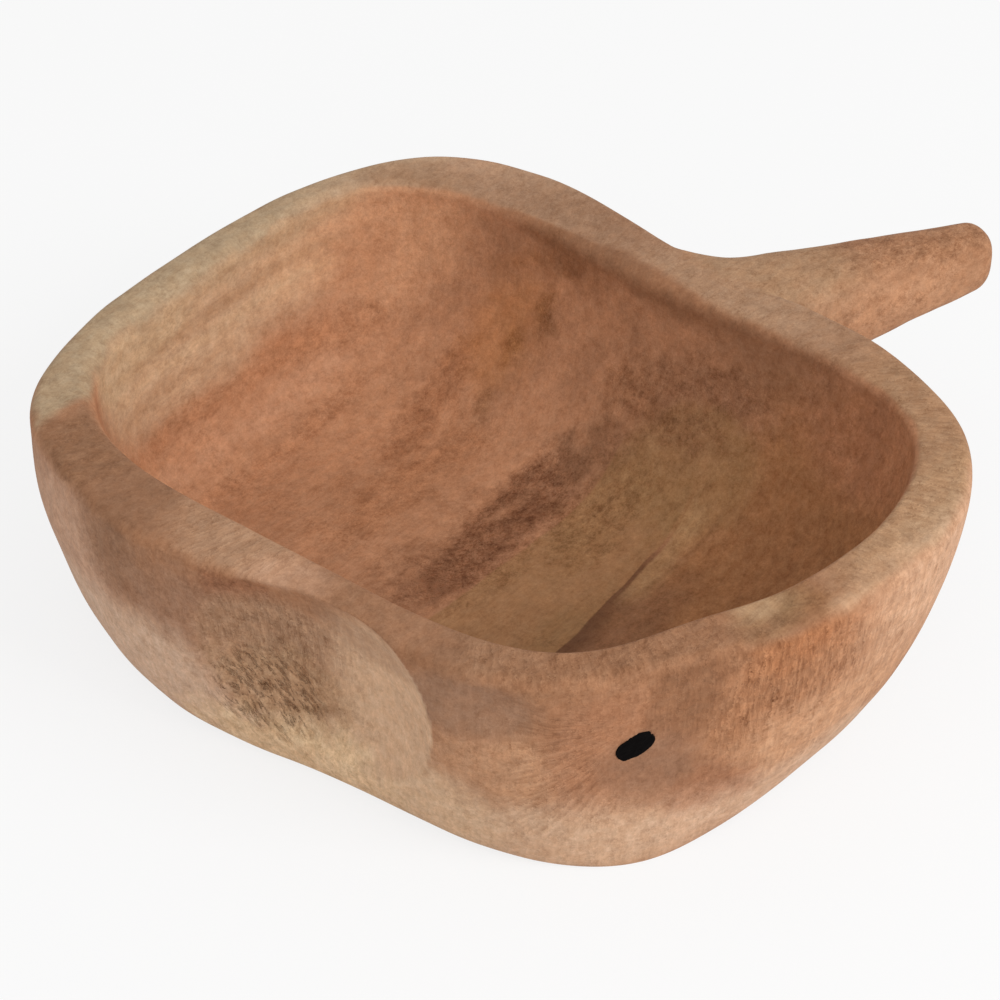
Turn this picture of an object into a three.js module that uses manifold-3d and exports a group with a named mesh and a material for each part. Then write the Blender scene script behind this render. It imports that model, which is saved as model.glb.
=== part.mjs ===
// Apple-shaped bowl carved from one block of hardwood, with its stem, the stem's dowel and a dead knot.
// Millimetres, +Z up. The origin is the middle of the flat foot, and +X runs along the apple to its stem.
// Left is +Y and right is -Y, as seen from the blossom end. Bearings are degrees from +X, turning left.
import * as THREE from "three";
import { mergeVertices } from "three/addons/utils/BufferGeometryUtils.js";
import Module from "manifold-3d";

// Overall form of the bowl
const BOWL_HEIGHT = 82;
const RIM_HALF_LENGTH = 119.5;
const RIM_HALF_WIDTH = 148;
const RIM_SQUARENESS = 3.0;
const RIM_FLARE = 0.06; // how much wider the stem end is than the middle, as a share
const RIM_SKEW = 0.04; // how far the outline leans to the right, per millimetre towards the stem
const RIM_OVERHANG = 19; // middle of the rim, ahead of the middle of the foot
const FOOT_HALF_LENGTH = 78;
const FOOT_HALF_WIDTH = 122;
const FOOT_SQUARENESS = 3.6;

// Rim: its width on each side and the rounding of its two edges
const RIM_WIDTH_STEM = 25;
const RIM_WIDTH_BLOSSOM = 24;
const RIM_WIDTH_LEFT = 16;
const RIM_WIDTH_RIGHT = 20;
const RIM_OUTER_ROUND = 4.5;
const RIM_INNER_ROUND = 2.5;
const OPENING_SQUARENESS = 4.5;

// Swells of the outline: the bearing and half spread of each, and how far it swells outside and inside
const LEFT_SHOULDER = { bearing: 33, spread: 19, outside: 18, inside: 7 };
const RIGHT_SHOULDER = { bearing: -51, spread: 18, outside: -7, inside: -9.5 };
const LEFT_CHEEK = { bearing: 134, spread: 14, outside: 3.5, inside: -5.5 };
const BLOSSOM_CORNER = { bearing: 160, spread: 14, outside: 3.5, inside: 0 };
const RIGHT_CHEEK = { bearing: -124, spread: 18, outside: -11, inside: -12 };
const STEM_DIP = { bearing: 0, spread: 32, outside: -5, inside: -3.5 };
const BLOSSOM_DIP = { bearing: 192, spread: 17, outside: -8, inside: 0 };
const SWELLS = [
  LEFT_SHOULDER,
  RIGHT_SHOULDER,
  LEFT_CHEEK,
  BLOSSOM_CORNER,
  RIGHT_CHEEK,
  STEM_DIP,
  BLOSSOM_DIP,
];

// Outer wall: how it leaves the foot and turns upright
const WALL_LIFT = 1.25;
const BLOSSOM_FULLNESS = 0.6;
const BLOSSOM_BEARING = 171;
const BLOSSOM_SPREAD = 32;
const BELLY_SWELL = 2; // how far the wall bellies out below the rim, left of the blossom end
const BELLY_BEARING = 140;
const BELLY_SPREAD = 28;
const BELLY_RISE = 68; // degrees up the wall's curve
const BELLY_RISE_SPREAD = 14;

// Hollow
const FLOOR_THICKNESS = 13;
const FLOOR_MARGIN = 26; // from the edge of the foot in to the edge of the floor
const FLOOR_SQUARENESS = 2.6;
const HOLLOW_REACH = 0.85;
const HOLLOW_LIFT = 1.35;

// Blossom end: the carved scoop, an ellipsoid turned about the upright
const SCOOP_DEPTH = 8.5;
const SCOOP_SIDE = -17; // from the apple's axis
const SCOOP_HEIGHT = 47;
const SCOOP_RADIUS_DEEP = 43;
const SCOOP_RADIUS_WIDE = 66;
const SCOOP_RADIUS_TALL = 66;
const SCOOP_TURN = 14;

// Flat cut beside the scoop
const CUT_BEARING = -145;
const CUT_RISE = 76;
const CUT_DEPTH = 3.2;
const CUT_RADIUS = 140;
const CUT_RADIUS_TALL = 62;

// Stem
const STEM_LENGTH = 81;
const STEM_BEARING = -5; // where its root leaves the rim
const STEM_LEAN = -31; // the way that it points
const STEM_STANDOFF = 15; // from the rim out to the joint
const STEM_ROOT_HALF_WIDTH = 21.5;
const STEM_TIP_HALF_WIDTH = 9.6;
const STEM_ROOT_HALF_DEPTH = 19.8;
const STEM_TIP_HALF_DEPTH = 11.5;
const STEM_DROP = 0.4; // top of the stem below the rim
const STEM_TIP_ROUND = 7;
const STEM_ROOT_SQUARENESS = 2.8;
const STEM_TIP_SQUARENESS = 2.5;
const ROOT_SQUARENESS_AT_WALL = 4.5;
const ROOT_FILLET_START = 16; // from the joint back along the left side
const ROOT_FILLET_LENGTH = 16;
const ROOT_FILLET_LEFT = 10;
const ROOT_FILLET_UNDER = 6;
const JOINT_GAP = 0.3;

// Dowel in the stem joint
const DOWEL_DIAMETER = 10;
const DOWEL_IN_BOWL = 24;
const DOWEL_IN_STEM = 22;
const DOWEL_CHAMFER = 1;
const DOWEL_CLEARANCE = 0.15;
const DOWEL_END_CLEARANCE = 1;

// Knot
const KNOT_BEARING = -128;
const KNOT_RISE = 66;
const KNOT_HALF_LENGTH = 6.8;
const KNOT_HALF_WIDTH = 4.2;
const KNOT_DEPTH = 9;
const KNOT_TAPER = 0.8;
const KNOT_TILT = 25;
const KNOT_CLEARANCE = 0.3;

// Fineness of the surfaces
const COLUMNS = 96;
const WALL_ROWS = 13;
const HOLLOW_ROWS = 13;
const ROUND_ROWS = 3;
const SCOOP_COLUMNS = 64;
const SCOOP_ROWS = 48;
const STEM_SIDES = 32;
const STEM_ROWS = 12;
const TIP_ROWS = 5;
const DOWEL_SIDES = 24;
const KNOT_SIDES = 20;

const UP = new THREE.Vector3(0, 0, 1);
const radians = THREE.MathUtils.degToRad;

// A point of a square with rounded corners, half size 1, on the given bearing
function roundedSquare(bearing, squareness) {
  const across = Math.abs(Math.cos(bearing)) ** squareness;
  const along = Math.abs(Math.sin(bearing)) ** squareness;
  const reach = (across + along) ** (-1 / squareness);
  return new THREE.Vector2(reach * Math.cos(bearing), reach * Math.sin(bearing));
}

// A smooth hill, 1 at its own bearing and falling away round the bowl
function hill(bearing, middle, spread) {
  const away = 2 * Math.sin((bearing - radians(middle)) / 2);
  return Math.exp(-((away / radians(spread)) ** 2));
}

// Moves a point of an outline out or in by all the swells at its bearing
function addSwells(point, bearing, side) {
  const amount = SWELLS.reduce(
    (sum, swell) => sum + swell[side] * hill(bearing, swell.bearing, swell.spread),
    0,
  );
  return point.multiplyScalar(1 + amount / point.length());
}

// Places an outline drawn about its own middle at the middle of the rim
function placeAtRim(point) {
  const x = point.x + RIM_OVERHANG;
  return new THREE.Vector2(x, point.y - RIM_SKEW * x);
}

function rimOutside(bearing) {
  const p = roundedSquare(bearing, RIM_SQUARENESS);
  const outline = new THREE.Vector2(
    RIM_HALF_LENGTH * p.x,
    RIM_HALF_WIDTH * p.y * (1 + RIM_FLARE * p.x),
  );
  return placeAtRim(addSwells(outline, bearing, "outside"));
}

function rimInside(bearing) {
  const p = roundedSquare(bearing, OPENING_SQUARENESS);
  const halfLength = RIM_HALF_LENGTH - (RIM_WIDTH_STEM + RIM_WIDTH_BLOSSOM) / 2;
  const halfWidth = RIM_HALF_WIDTH - (RIM_WIDTH_LEFT + RIM_WIDTH_RIGHT) / 2;
  const outline = new THREE.Vector2(
    halfLength * p.x + (RIM_WIDTH_BLOSSOM - RIM_WIDTH_STEM) / 2,
    halfWidth * p.y * (1 + RIM_FLARE * p.x) + (RIM_WIDTH_RIGHT - RIM_WIDTH_LEFT) / 2,
  );
  return placeAtRim(addSwells(outline, bearing, "inside"));
}

function footOutline(bearing) {
  const p = roundedSquare(bearing, FOOT_SQUARENESS);
  return new THREE.Vector2(FOOT_HALF_LENGTH * p.x, FOOT_HALF_WIDTH * p.y);
}

function floorOutline(bearing) {
  const p = roundedSquare(bearing, FLOOR_SQUARENESS);
  return new THREE.Vector2(
    (FOOT_HALF_LENGTH - FLOOR_MARGIN) * p.x,
    (FOOT_HALF_WIDTH - FLOOR_MARGIN) * p.y,
  );
}

// Outer wall: rise 0 is the edge of the foot, and a quarter turn is the start of the rim's rounding
function wallPoint(bearing, rise) {
  const fullness = BLOSSOM_FULLNESS * hill(bearing, BLOSSOM_BEARING, BLOSSOM_SPREAD);
  const out = Math.sin(rise) ** (1 - fullness);
  const up = 1 - Math.cos(rise) ** WALL_LIFT;
  const p = footOutline(bearing).lerp(rimOutside(bearing), out);
  const aside = hill(bearing, BELLY_BEARING, BELLY_SPREAD);
  const belly = BELLY_SWELL * aside * hill(rise, BELLY_RISE, BELLY_RISE_SPREAD);
  p.multiplyScalar(1 + belly / p.length());
  return new THREE.Vector3(p.x, p.y, (BOWL_HEIGHT - RIM_OUTER_ROUND) * up);
}

// Hollow: rise 0 is the edge of the floor, and a quarter turn is the start of the inner rounding
function hollowPoint(bearing, rise) {
  const out = Math.sin(rise) ** HOLLOW_REACH;
  const up = 1 - Math.cos(rise) ** HOLLOW_LIFT;
  const p = floorOutline(bearing).lerp(rimInside(bearing), out);
  const depth = BOWL_HEIGHT - RIM_INNER_ROUND - FLOOR_THICKNESS;
  return new THREE.Vector3(p.x, p.y, FLOOR_THICKNESS + depth * up);
}

// Moves a point level, towards the middle of the rim
function drawIn(point, distance) {
  const away = new THREE.Vector3(point.x - RIM_OVERHANG, point.y, 0).normalize();
  return point.addScaledVector(away, -distance);
}

// One ring of points round the bowl
function ring(pointAt) {
  return Array.from({ length: COLUMNS }, (_, i) => pointAt((i / COLUMNS) * 2 * Math.PI));
}

// Closed surface through rings of points, with a fan at each end
function skin(rings, start, end) {
  const sides = rings[0].length;
  const positions = [start, ...rings.flat(), end].flatMap((p) => p.toArray());
  const last = 1 + rings.length * sides;
  const at = (row, side) => 1 + row * sides + (side % sides);
  const index = [];
  for (let j = 0; j < sides; j++) {
    index.push(0, at(0, j + 1), at(0, j));
    for (let i = 0; i + 1 < rings.length; i++) {
      index.push(at(i, j), at(i, j + 1), at(i + 1, j + 1));
      index.push(at(i, j), at(i + 1, j + 1), at(i + 1, j));
    }
    index.push(last, at(rings.length - 1, j), at(rings.length - 1, j + 1));
  }
  const geometry = new THREE.BufferGeometry();
  geometry.setAttribute("position", new THREE.Float32BufferAttribute(positions, 3));
  geometry.setIndex(index);
  return geometry;
}

const wasm = await Module();
wasm.setup();

// A closed geometry as a solid that can be joined and cut
function solidOf(geometry, matrix = new THREE.Matrix4()) {
  const bare = new THREE.BufferGeometry();
  bare.setAttribute("position", geometry.getAttribute("position").clone());
  bare.setIndex(geometry.index);
  bare.applyMatrix4(matrix);
  const merged = mergeVertices(bare, 1e-4);
  return new wasm.Manifold(
    new wasm.Mesh({
      numProp: 3,
      vertProperties: merged.attributes.position.array,
      triVerts: new Uint32Array(merged.index.array),
    }),
  );
}

function geometryOf(solid) {
  const mesh = solid.getMesh();
  const geometry = new THREE.BufferGeometry();
  geometry.setAttribute("position", new THREE.BufferAttribute(mesh.vertProperties, 3));
  geometry.setIndex(new THREE.BufferAttribute(mesh.triVerts, 1));
  geometry.computeVertexNormals();
  return geometry;
}

// The block as shaped outside, with a plain flat top
function outerSolid() {
  const rings = [];
  for (let i = 0; i < WALL_ROWS; i++) {
    const rise = ((i / (WALL_ROWS - 1)) * Math.PI) / 2;
    rings.push(ring((bearing) => wallPoint(bearing, rise)));
  }
  for (let i = 1; i <= ROUND_ROWS; i++) {
    const turn = ((i / ROUND_ROWS) * Math.PI) / 2;
    rings.push(
      ring((bearing) => {
        const p = drawIn(wallPoint(bearing, Math.PI / 2), RIM_OUTER_ROUND * (1 - Math.cos(turn)));
        return p.setZ(BOWL_HEIGHT - RIM_OUTER_ROUND * (1 - Math.sin(turn)));
      }),
    );
  }
  const top = new THREE.Vector3(RIM_OVERHANG, 0, BOWL_HEIGHT);
  return solidOf(skin(rings, new THREE.Vector3(), top));
}

// The wood taken out of the middle, standing proud of the rim so that it cuts clean through
function hollowSolid() {
  const rings = [];
  for (let i = 0; i < HOLLOW_ROWS; i++) {
    const rise = ((i / (HOLLOW_ROWS - 1)) * Math.PI) / 2;
    rings.push(ring((bearing) => hollowPoint(bearing, rise)));
  }
  for (let i = 1; i <= ROUND_ROWS; i++) {
    const turn = ((i / ROUND_ROWS) * Math.PI) / 2;
    rings.push(
      ring((bearing) => {
        const p = drawIn(hollowPoint(bearing, Math.PI / 2), -RIM_INNER_ROUND * (1 - Math.cos(turn)));
        return p.setZ(BOWL_HEIGHT - RIM_INNER_ROUND * (1 - Math.sin(turn)));
      }),
    );
  }
  const proud = RIM_INNER_ROUND;
  rings.push(rings.at(-1).map((p) => p.clone().setZ(BOWL_HEIGHT + proud)));
  const floor = new THREE.Vector3(0, 0, FLOOR_THICKNESS);
  const top = new THREE.Vector3(RIM_OVERHANG, 0, BOWL_HEIGHT + proud);
  return solidOf(skin(rings, floor, top));
}

function ellipsoid(middle, radii, turn) {
  const matrix = new THREE.Matrix4().compose(
    middle,
    new THREE.Quaternion().setFromAxisAngle(UP, turn),
    radii,
  );
  return solidOf(new THREE.SphereGeometry(1, SCOOP_COLUMNS, SCOOP_ROWS), matrix);
}

// Outward direction of the outer wall
function wallNormal(bearing, rise) {
  const step = 1e-3;
  const round = wallPoint(bearing + step, rise).sub(wallPoint(bearing - step, rise));
  const upward = wallPoint(bearing, rise + step).sub(wallPoint(bearing, rise - step));
  return round.cross(upward).normalize();
}

// The scoop's deepest point lies SCOOP_DEPTH inside the rim's own edge at the blossom end
function scoopSolid() {
  const edge = roundedSquare(Math.PI, RIM_SQUARENESS).x * RIM_HALF_LENGTH + RIM_OVERHANG;
  const middle = new THREE.Vector3(
    edge - BLOSSOM_DIP.outside + SCOOP_DEPTH - SCOOP_RADIUS_DEEP,
    SCOOP_SIDE,
    SCOOP_HEIGHT,
  );
  const radii = new THREE.Vector3(SCOOP_RADIUS_DEEP, SCOOP_RADIUS_WIDE, SCOOP_RADIUS_TALL);
  return ellipsoid(middle, radii, radians(SCOOP_TURN));
}

function cutSolid() {
  const bearing = radians(CUT_BEARING);
  const rise = radians(CUT_RISE);
  const level = wallNormal(bearing, rise).setZ(0).normalize();
  const middle = wallPoint(bearing, rise).addScaledVector(level, CUT_RADIUS - CUT_DEPTH);
  return ellipsoid(middle, new THREE.Vector3(CUT_RADIUS, CUT_RADIUS, CUT_RADIUS_TALL), 0);
}

// Frame of the stem: its joint lies at the origin of this frame, and it runs along +X in it
const stemRoot = new THREE.Vector3(...rimOutside(radians(STEM_BEARING)).toArray(), 0);
const stemWay = new THREE.Vector3(Math.cos(radians(STEM_LEAN)), Math.sin(radians(STEM_LEAN)), 0);
stemRoot.addScaledVector(stemWay, STEM_STANDOFF);
const stemFrame = new THREE.Matrix4()
  .makeRotationZ(radians(STEM_LEAN))
  .setPosition(stemRoot.x, stemRoot.y, 0);
const stemAxisHeight = BOWL_HEIGHT - STEM_DROP - STEM_ROOT_HALF_DEPTH;

// Half width and half depth of the stem's own taper, carried on behind the joint into the wall
function stemHalfSizes(along) {
  const share = along / STEM_LENGTH;
  return new THREE.Vector2(
    THREE.MathUtils.lerp(STEM_ROOT_HALF_WIDTH, STEM_TIP_HALF_WIDTH, share),
    THREE.MathUtils.lerp(STEM_ROOT_HALF_DEPTH, STEM_TIP_HALF_DEPTH, share),
  );
}

// One ring of the stem in its own frame, shrunk by inset all round
function stemRing(along, squareness, inset) {
  const half = stemHalfSizes(along);
  const middle = BOWL_HEIGHT - STEM_DROP - half.y;
  return Array.from({ length: STEM_SIDES }, (_, i) => {
    const p = roundedSquare((i / STEM_SIDES) * 2 * Math.PI, squareness);
    return new THREE.Vector3(along, (half.x - inset) * p.x, middle + (half.y - inset) * p.y);
  });
}

// How far the outer wall at the stem lies behind the rim's edge, at a height
function wallRecess(height) {
  const share = Math.min(Math.max(height / (BOWL_HEIGHT - RIM_OUTER_ROUND), 0), 1);
  const rise = Math.acos((1 - share) ** (1 / WALL_LIFT));
  const bearing = radians(STEM_BEARING);
  return rimOutside(bearing).distanceTo(footOutline(bearing)) * (1 - Math.sin(rise));
}

// One ring of the root: square above, round below, and widened to the left and below by its fillet
function rootRing(along, fillet) {
  const half = stemHalfSizes(along);
  const middle = BOWL_HEIGHT - STEM_DROP - half.y;
  const blend = THREE.MathUtils.smoothstep(-along, 0, ROOT_FILLET_START + ROOT_FILLET_LENGTH);
  const above = THREE.MathUtils.lerp(STEM_ROOT_SQUARENESS, ROOT_SQUARENESS_AT_WALL, blend);
  return Array.from({ length: STEM_SIDES }, (_, i) => {
    const turn = (i / STEM_SIDES) * 2 * Math.PI;
    const p = roundedSquare(turn, i < STEM_SIDES / 2 ? above : STEM_ROOT_SQUARENESS);
    const width = half.x + (p.x > 0 ? ROOT_FILLET_LEFT * fillet : 0);
    const depth = half.y + (p.y < 0 ? ROOT_FILLET_UNDER * fillet : 0);
    const height = middle + depth * p.y;
    const follow = 1 + wallRecess(height) / (ROOT_FILLET_START + ROOT_FILLET_LENGTH);
    return new THREE.Vector3(along * follow, width * p.x, height);
  });
}

// The root carved on the bowl: it runs back from the joint, flares onto the wall and ends inside it
function rootSolid() {
  const atWall = ROOT_FILLET_START + ROOT_FILLET_LENGTH;
  const back = atWall + RIM_WIDTH_STEM;
  const rings = [rootRing(-back, 0), rootRing(-(atWall + ROOT_FILLET_LENGTH / 2), 0)];
  for (let i = 0; i <= STEM_ROWS; i++) {
    const along = -atWall * (1 - i / STEM_ROWS);
    const into = Math.max(0, (-along - ROOT_FILLET_START) / ROOT_FILLET_LENGTH);
    rings.push(rootRing(along, into ** 2));
  }
  const start = new THREE.Vector3(-back, 0, stemAxisHeight);
  const end = new THREE.Vector3(0, 0, stemAxisHeight);
  return solidOf(skin(rings, start, end), stemFrame);
}

// A round peg along the stem's axis, with chamfered ends
function pegSolid(from, to, radius, chamfer) {
  const profile = [
    new THREE.Vector2(0, from),
    new THREE.Vector2(radius - chamfer, from),
    new THREE.Vector2(radius, from + chamfer),
    new THREE.Vector2(radius, to - chamfer),
    new THREE.Vector2(radius - chamfer, to),
    new THREE.Vector2(0, to),
  ];
  const alongStem = new THREE.Matrix4()
    .makeRotationZ(-Math.PI / 2)
    .setPosition(0, 0, stemAxisHeight);
  return solidOf(new THREE.LatheGeometry(profile, DOWEL_SIDES), stemFrame.clone().multiply(alongStem));
}

function stemSocket() {
  return pegSolid(
    -(DOWEL_IN_BOWL + DOWEL_END_CLEARANCE),
    DOWEL_IN_STEM + DOWEL_END_CLEARANCE,
    DOWEL_DIAMETER / 2 + DOWEL_CLEARANCE,
    DOWEL_CHAMFER,
  );
}

function stemSolid() {
  const rings = [];
  for (let i = 0; i <= STEM_ROWS; i++) {
    const along = THREE.MathUtils.lerp(JOINT_GAP, STEM_LENGTH - STEM_TIP_ROUND, i / STEM_ROWS);
    const squareness = THREE.MathUtils.lerp(STEM_ROOT_SQUARENESS, STEM_TIP_SQUARENESS, i / STEM_ROWS);
    rings.push(stemRing(along, squareness, 0));
  }
  for (let i = 1; i <= TIP_ROWS; i++) {
    const turn = ((i / TIP_ROWS) * Math.PI) / 2;
    const along = STEM_LENGTH - STEM_TIP_ROUND * (1 - Math.sin(turn));
    rings.push(stemRing(along, STEM_TIP_SQUARENESS, STEM_TIP_ROUND * (1 - Math.cos(turn))));
  }
  const tipHeight = BOWL_HEIGHT - STEM_DROP - STEM_TIP_HALF_DEPTH;
  const start = new THREE.Vector3(JOINT_GAP, 0, stemAxisHeight);
  const end = new THREE.Vector3(STEM_LENGTH, 0, tipHeight);
  return solidOf(skin(rings, start, end), stemFrame).subtract(stemSocket());
}

function dowelSolid() {
  return pegSolid(-DOWEL_IN_BOWL, DOWEL_IN_STEM, DOWEL_DIAMETER / 2, DOWEL_CHAMFER);
}

// The knot's tapered oval, square to the wall, from its inner end to a little outside the wall
function knotSolid(clearance) {
  const bearing = radians(KNOT_BEARING);
  const rise = radians(KNOT_RISE);
  const outward = wallNormal(bearing, rise);
  const level = new THREE.Vector3().crossVectors(UP, outward).normalize();
  const long = level.applyAxisAngle(outward, radians(KNOT_TILT));
  const short = new THREE.Vector3().crossVectors(outward, long);
  const depth = KNOT_DEPTH + clearance;
  const proud = KNOT_HALF_LENGTH;
  const growth = (1 - KNOT_TAPER) / KNOT_DEPTH;
  const outerShare = 1 + growth * proud;
  const innerShare = 1 - growth * depth;
  const shape = new THREE.CylinderGeometry(outerShare, innerShare, depth + proud, KNOT_SIDES);
  shape.translate(0, (proud - depth) / 2, 0);
  const frame = new THREE.Matrix4().makeBasis(
    long.multiplyScalar(KNOT_HALF_LENGTH + clearance),
    outward,
    short.multiplyScalar(-(KNOT_HALF_WIDTH + clearance)),
  );
  frame.setPosition(wallPoint(bearing, rise));
  return solidOf(shape, frame);
}

const WOOD = new THREE.MeshStandardMaterial({ color: 0xb08560, roughness: 0.7, metalness: 0 });
const STEM_WOOD = new THREE.MeshStandardMaterial({ color: 0xb58a68, roughness: 0.7, metalness: 0 });
const DOWEL_WOOD = new THREE.MeshStandardMaterial({ color: 0xd2b48c, roughness: 0.75, metalness: 0 });
const KNOT_WOOD = new THREE.MeshStandardMaterial({ color: 0x14100f, roughness: 0.6, metalness: 0 });

const carved = outerSolid().add(rootSolid()).subtract(scoopSolid()).subtract(cutSolid());
const PIECES = {
  bowl_body: [
    carved.subtract(hollowSolid()).subtract(stemSocket()).subtract(knotSolid(KNOT_CLEARANCE)),
    WOOD,
  ],
  stem: [stemSolid(), STEM_WOOD],
  stem_dowel: [dowelSolid(), DOWEL_WOOD],
  knot_plug: [carved.intersect(knotSolid(0)), KNOT_WOOD],
};

const bowl = new THREE.Group();
for (const [name, [solid, material]] of Object.entries(PIECES)) {
  const mesh = new THREE.Mesh(geometryOf(solid), material);
  mesh.name = name;
  bowl.add(mesh);
}

export default bowl;
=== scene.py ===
"""The apple-shaped wooden bowl, dressed: a carved body with the root of its stem, the stem, the dowel
in the stem's joint and a dead knot in the wall. Sizes are millimetres until a mesh is made."""

import logging
from dataclasses import dataclass, field
from enum import Enum

import bpy
import numpy as np
from mathutils import Matrix, Vector


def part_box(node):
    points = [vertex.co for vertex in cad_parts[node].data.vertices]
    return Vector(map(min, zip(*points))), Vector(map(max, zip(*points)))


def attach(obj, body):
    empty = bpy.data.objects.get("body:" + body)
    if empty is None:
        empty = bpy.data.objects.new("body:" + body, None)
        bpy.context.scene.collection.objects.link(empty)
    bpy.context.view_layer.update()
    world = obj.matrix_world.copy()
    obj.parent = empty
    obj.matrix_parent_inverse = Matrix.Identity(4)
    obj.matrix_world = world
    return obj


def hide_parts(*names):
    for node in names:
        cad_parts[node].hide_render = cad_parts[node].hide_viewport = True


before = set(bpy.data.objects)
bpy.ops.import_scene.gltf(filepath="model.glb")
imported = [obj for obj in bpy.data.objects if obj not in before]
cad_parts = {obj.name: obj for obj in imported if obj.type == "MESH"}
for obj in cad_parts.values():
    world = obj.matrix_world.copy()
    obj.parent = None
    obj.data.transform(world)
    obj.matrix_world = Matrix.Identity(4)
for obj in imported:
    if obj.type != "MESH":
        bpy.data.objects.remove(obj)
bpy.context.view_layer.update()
LOG = logging.getLogger("bowl")
MM = 0.001
QUARTER = np.pi / 2
FAR = 9.0
WHITE = (1, 1, 1, 1)


def rounded_square(
    bearing: np.ndarray, squareness: np.ndarray | float
) -> tuple[np.ndarray, np.ndarray]:
    """A square with rounded corners, half size 1: the point on each bearing whose coordinates, raised
    to the squareness, add up to 1.

    Args:
        bearing: angles in radians.
        squareness: 2 is a circle, and higher is squarer.

    Returns:
        The points' x and y.
    """
    c, s = np.cos(bearing), np.sin(bearing)
    reach = (np.abs(c) ** squareness + np.abs(s) ** squareness) ** (-1 / squareness)
    return reach * c, reach * s


def hill(angle: np.ndarray, middle: float, spread: float) -> np.ndarray:
    """A smooth hill of height 1 over an angle: e to minus the square of the chord over the spread.

    Args:
        angle: angles in radians.
        middle: where the hill stands, in degrees.
        spread: its half width, in degrees.

    Returns:
        The height at each angle.
    """
    away = 2 * np.sin((angle - np.radians(middle)) / 2)
    return np.exp(-((away / np.radians(spread)) ** 2))


def smooth_step(value: np.ndarray, low: float, high: float) -> np.ndarray:
    """0 below low and 1 above high, with an S-shaped cubic between.

    Args:
        value: any numbers.
        low: where the step starts.
        high: where it ends. It may be under low, and the step then falls.

    Returns:
        The step at each value.
    """
    t = np.clip((value - low) / (high - low), 0, 1)
    return t * t * (3 - 2 * t)


def soft_min(a: np.ndarray, b: np.ndarray, softness: float) -> np.ndarray:
    """The smaller of two lengths, rounded off by a parabola where they differ by less than softness.

    Args:
        a: first lengths.
        b: second lengths.
        softness: width of the rounding.

    Returns:
        The smoothed minimum.
    """
    h = np.clip(0.5 + 0.5 * (b - a) / softness, 0, 1)
    return b * (1 - h) + a * h - softness * h * (1 - h)


@dataclass
class Unevenness:
    """Smooth random heights from -1 to 1 in space, the same at each run."""

    seed: int
    cells: int = 24
    start: float = 7.3
    values: np.ndarray = field(init=False, repr=False)

    def __post_init__(self) -> None:
        """Draws the lattice's values."""
        self.values = np.random.default_rng(self.seed).uniform(-1, 1, (self.cells,) * 3)

    def at(self, points: np.ndarray, size: float | tuple[float, float, float]) -> np.ndarray:
        """Blends the eight nearest lattice values at each point with a quintic curve.

        Args:
            points: points, three numbers each.
            size: length of one cell, or its length along x, y and z.

        Returns:
            One height for each point.
        """
        place = points / np.array(size) + self.start
        low = np.floor(place).astype(int)
        part = place - low
        part = part**3 * (part * (part * 6 - 15) + 10)
        total = np.zeros(points.shape[:-1])
        for corner in np.ndindex(2, 2, 2):
            index = (low + corner) % self.cells
            share = np.prod(np.where(corner, part, 1 - part), axis=-1)
            total += share * self.values[index[..., 0], index[..., 1], index[..., 2]]
        return total


@dataclass(frozen=True)
class Swell:
    """Where the outline bulges or dips: bearing and spread in degrees, and how far outside and inside."""

    bearing: float
    spread: float
    outside: float
    inside: float


@dataclass(frozen=True)
class Gouge:
    """A hollow carved with a round tool: an ellipsoid turned about the upright."""

    middle: tuple[float, float, float]
    radii: tuple[float, float, float]
    turn: float
    softness: float = 0.8

    def entry(self, way: np.ndarray, axis_x: float, height: np.ndarray) -> np.ndarray:
        """How far from the axis a level ray enters the ellipsoid, from the quadratic for the ray in the
        ellipsoid's own unit sphere.

        Args:
            way: level unit directions out from the axis, two numbers each.
            axis_x: where the upright axis stands.
            height: height of each ray.

        Returns:
            The distance to the entry, or a very large one where the ray misses.
        """
        miss = 1e4
        c, s = np.cos(np.radians(self.turn)), np.sin(np.radians(self.turn))
        wide, deep, tall = self.radii
        px, py = axis_x - self.middle[0], -self.middle[1]
        ax = (c * way[..., 0] + s * way[..., 1]) / wide
        ay = (-s * way[..., 0] + c * way[..., 1]) / deep
        ox, oy = (c * px + s * py) / wide, (-s * px + c * py) / deep
        oz = (height - self.middle[2]) / tall
        first, half, last = ax * ax + ay * ay, ax * ox + ay * oy, ox * ox + oy * oy + oz * oz - 1
        root = half * half - first * last
        near = np.where(root > 0, (-half - np.sqrt(np.maximum(root, 0))) / first, miss)
        return np.where(near > 0, near, miss)


def make_piece(
    name: str, points: np.ndarray, faces: list, node: str, rings: tuple[np.ndarray, ...] = ()
) -> bpy.types.Object:
    """Puts a surface into a mesh, smooth shaded, riding on the bowl's one body.

    Args:
        name: the piece's name.
        points: its vertices in millimetres.
        faces: its faces, as lists of vertex numbers.
        node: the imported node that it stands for.
        rings: vertex numbers of the rings where the surface turns a sharp edge.

    Returns:
        The new object.
    """
    mesh = bpy.data.meshes.new(name)
    mesh.from_pydata((points * MM).tolist(), [], faces)
    mesh.polygons.foreach_set("use_smooth", np.ones(len(mesh.polygons), bool))
    if rings:
        ends = np.empty(len(mesh.edges) * 2, np.int32)
        mesh.edges.foreach_get("vertices", ends)
        sharp = np.any([np.isin(ends.reshape(-1, 2), ring).all(1) for ring in rings], axis=0)
        mesh.attributes.new("sharp_edge", "BOOLEAN", "EDGE").data.foreach_set("value", sharp)
    mesh.update()
    piece = bpy.data.objects.new(name, mesh)
    bpy.context.scene.collection.objects.link(piece)
    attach(piece, "root")
    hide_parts(node)
    LOG.info("%s: %d vertices, %d faces", name, len(mesh.vertices), len(mesh.polygons))
    return piece


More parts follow.
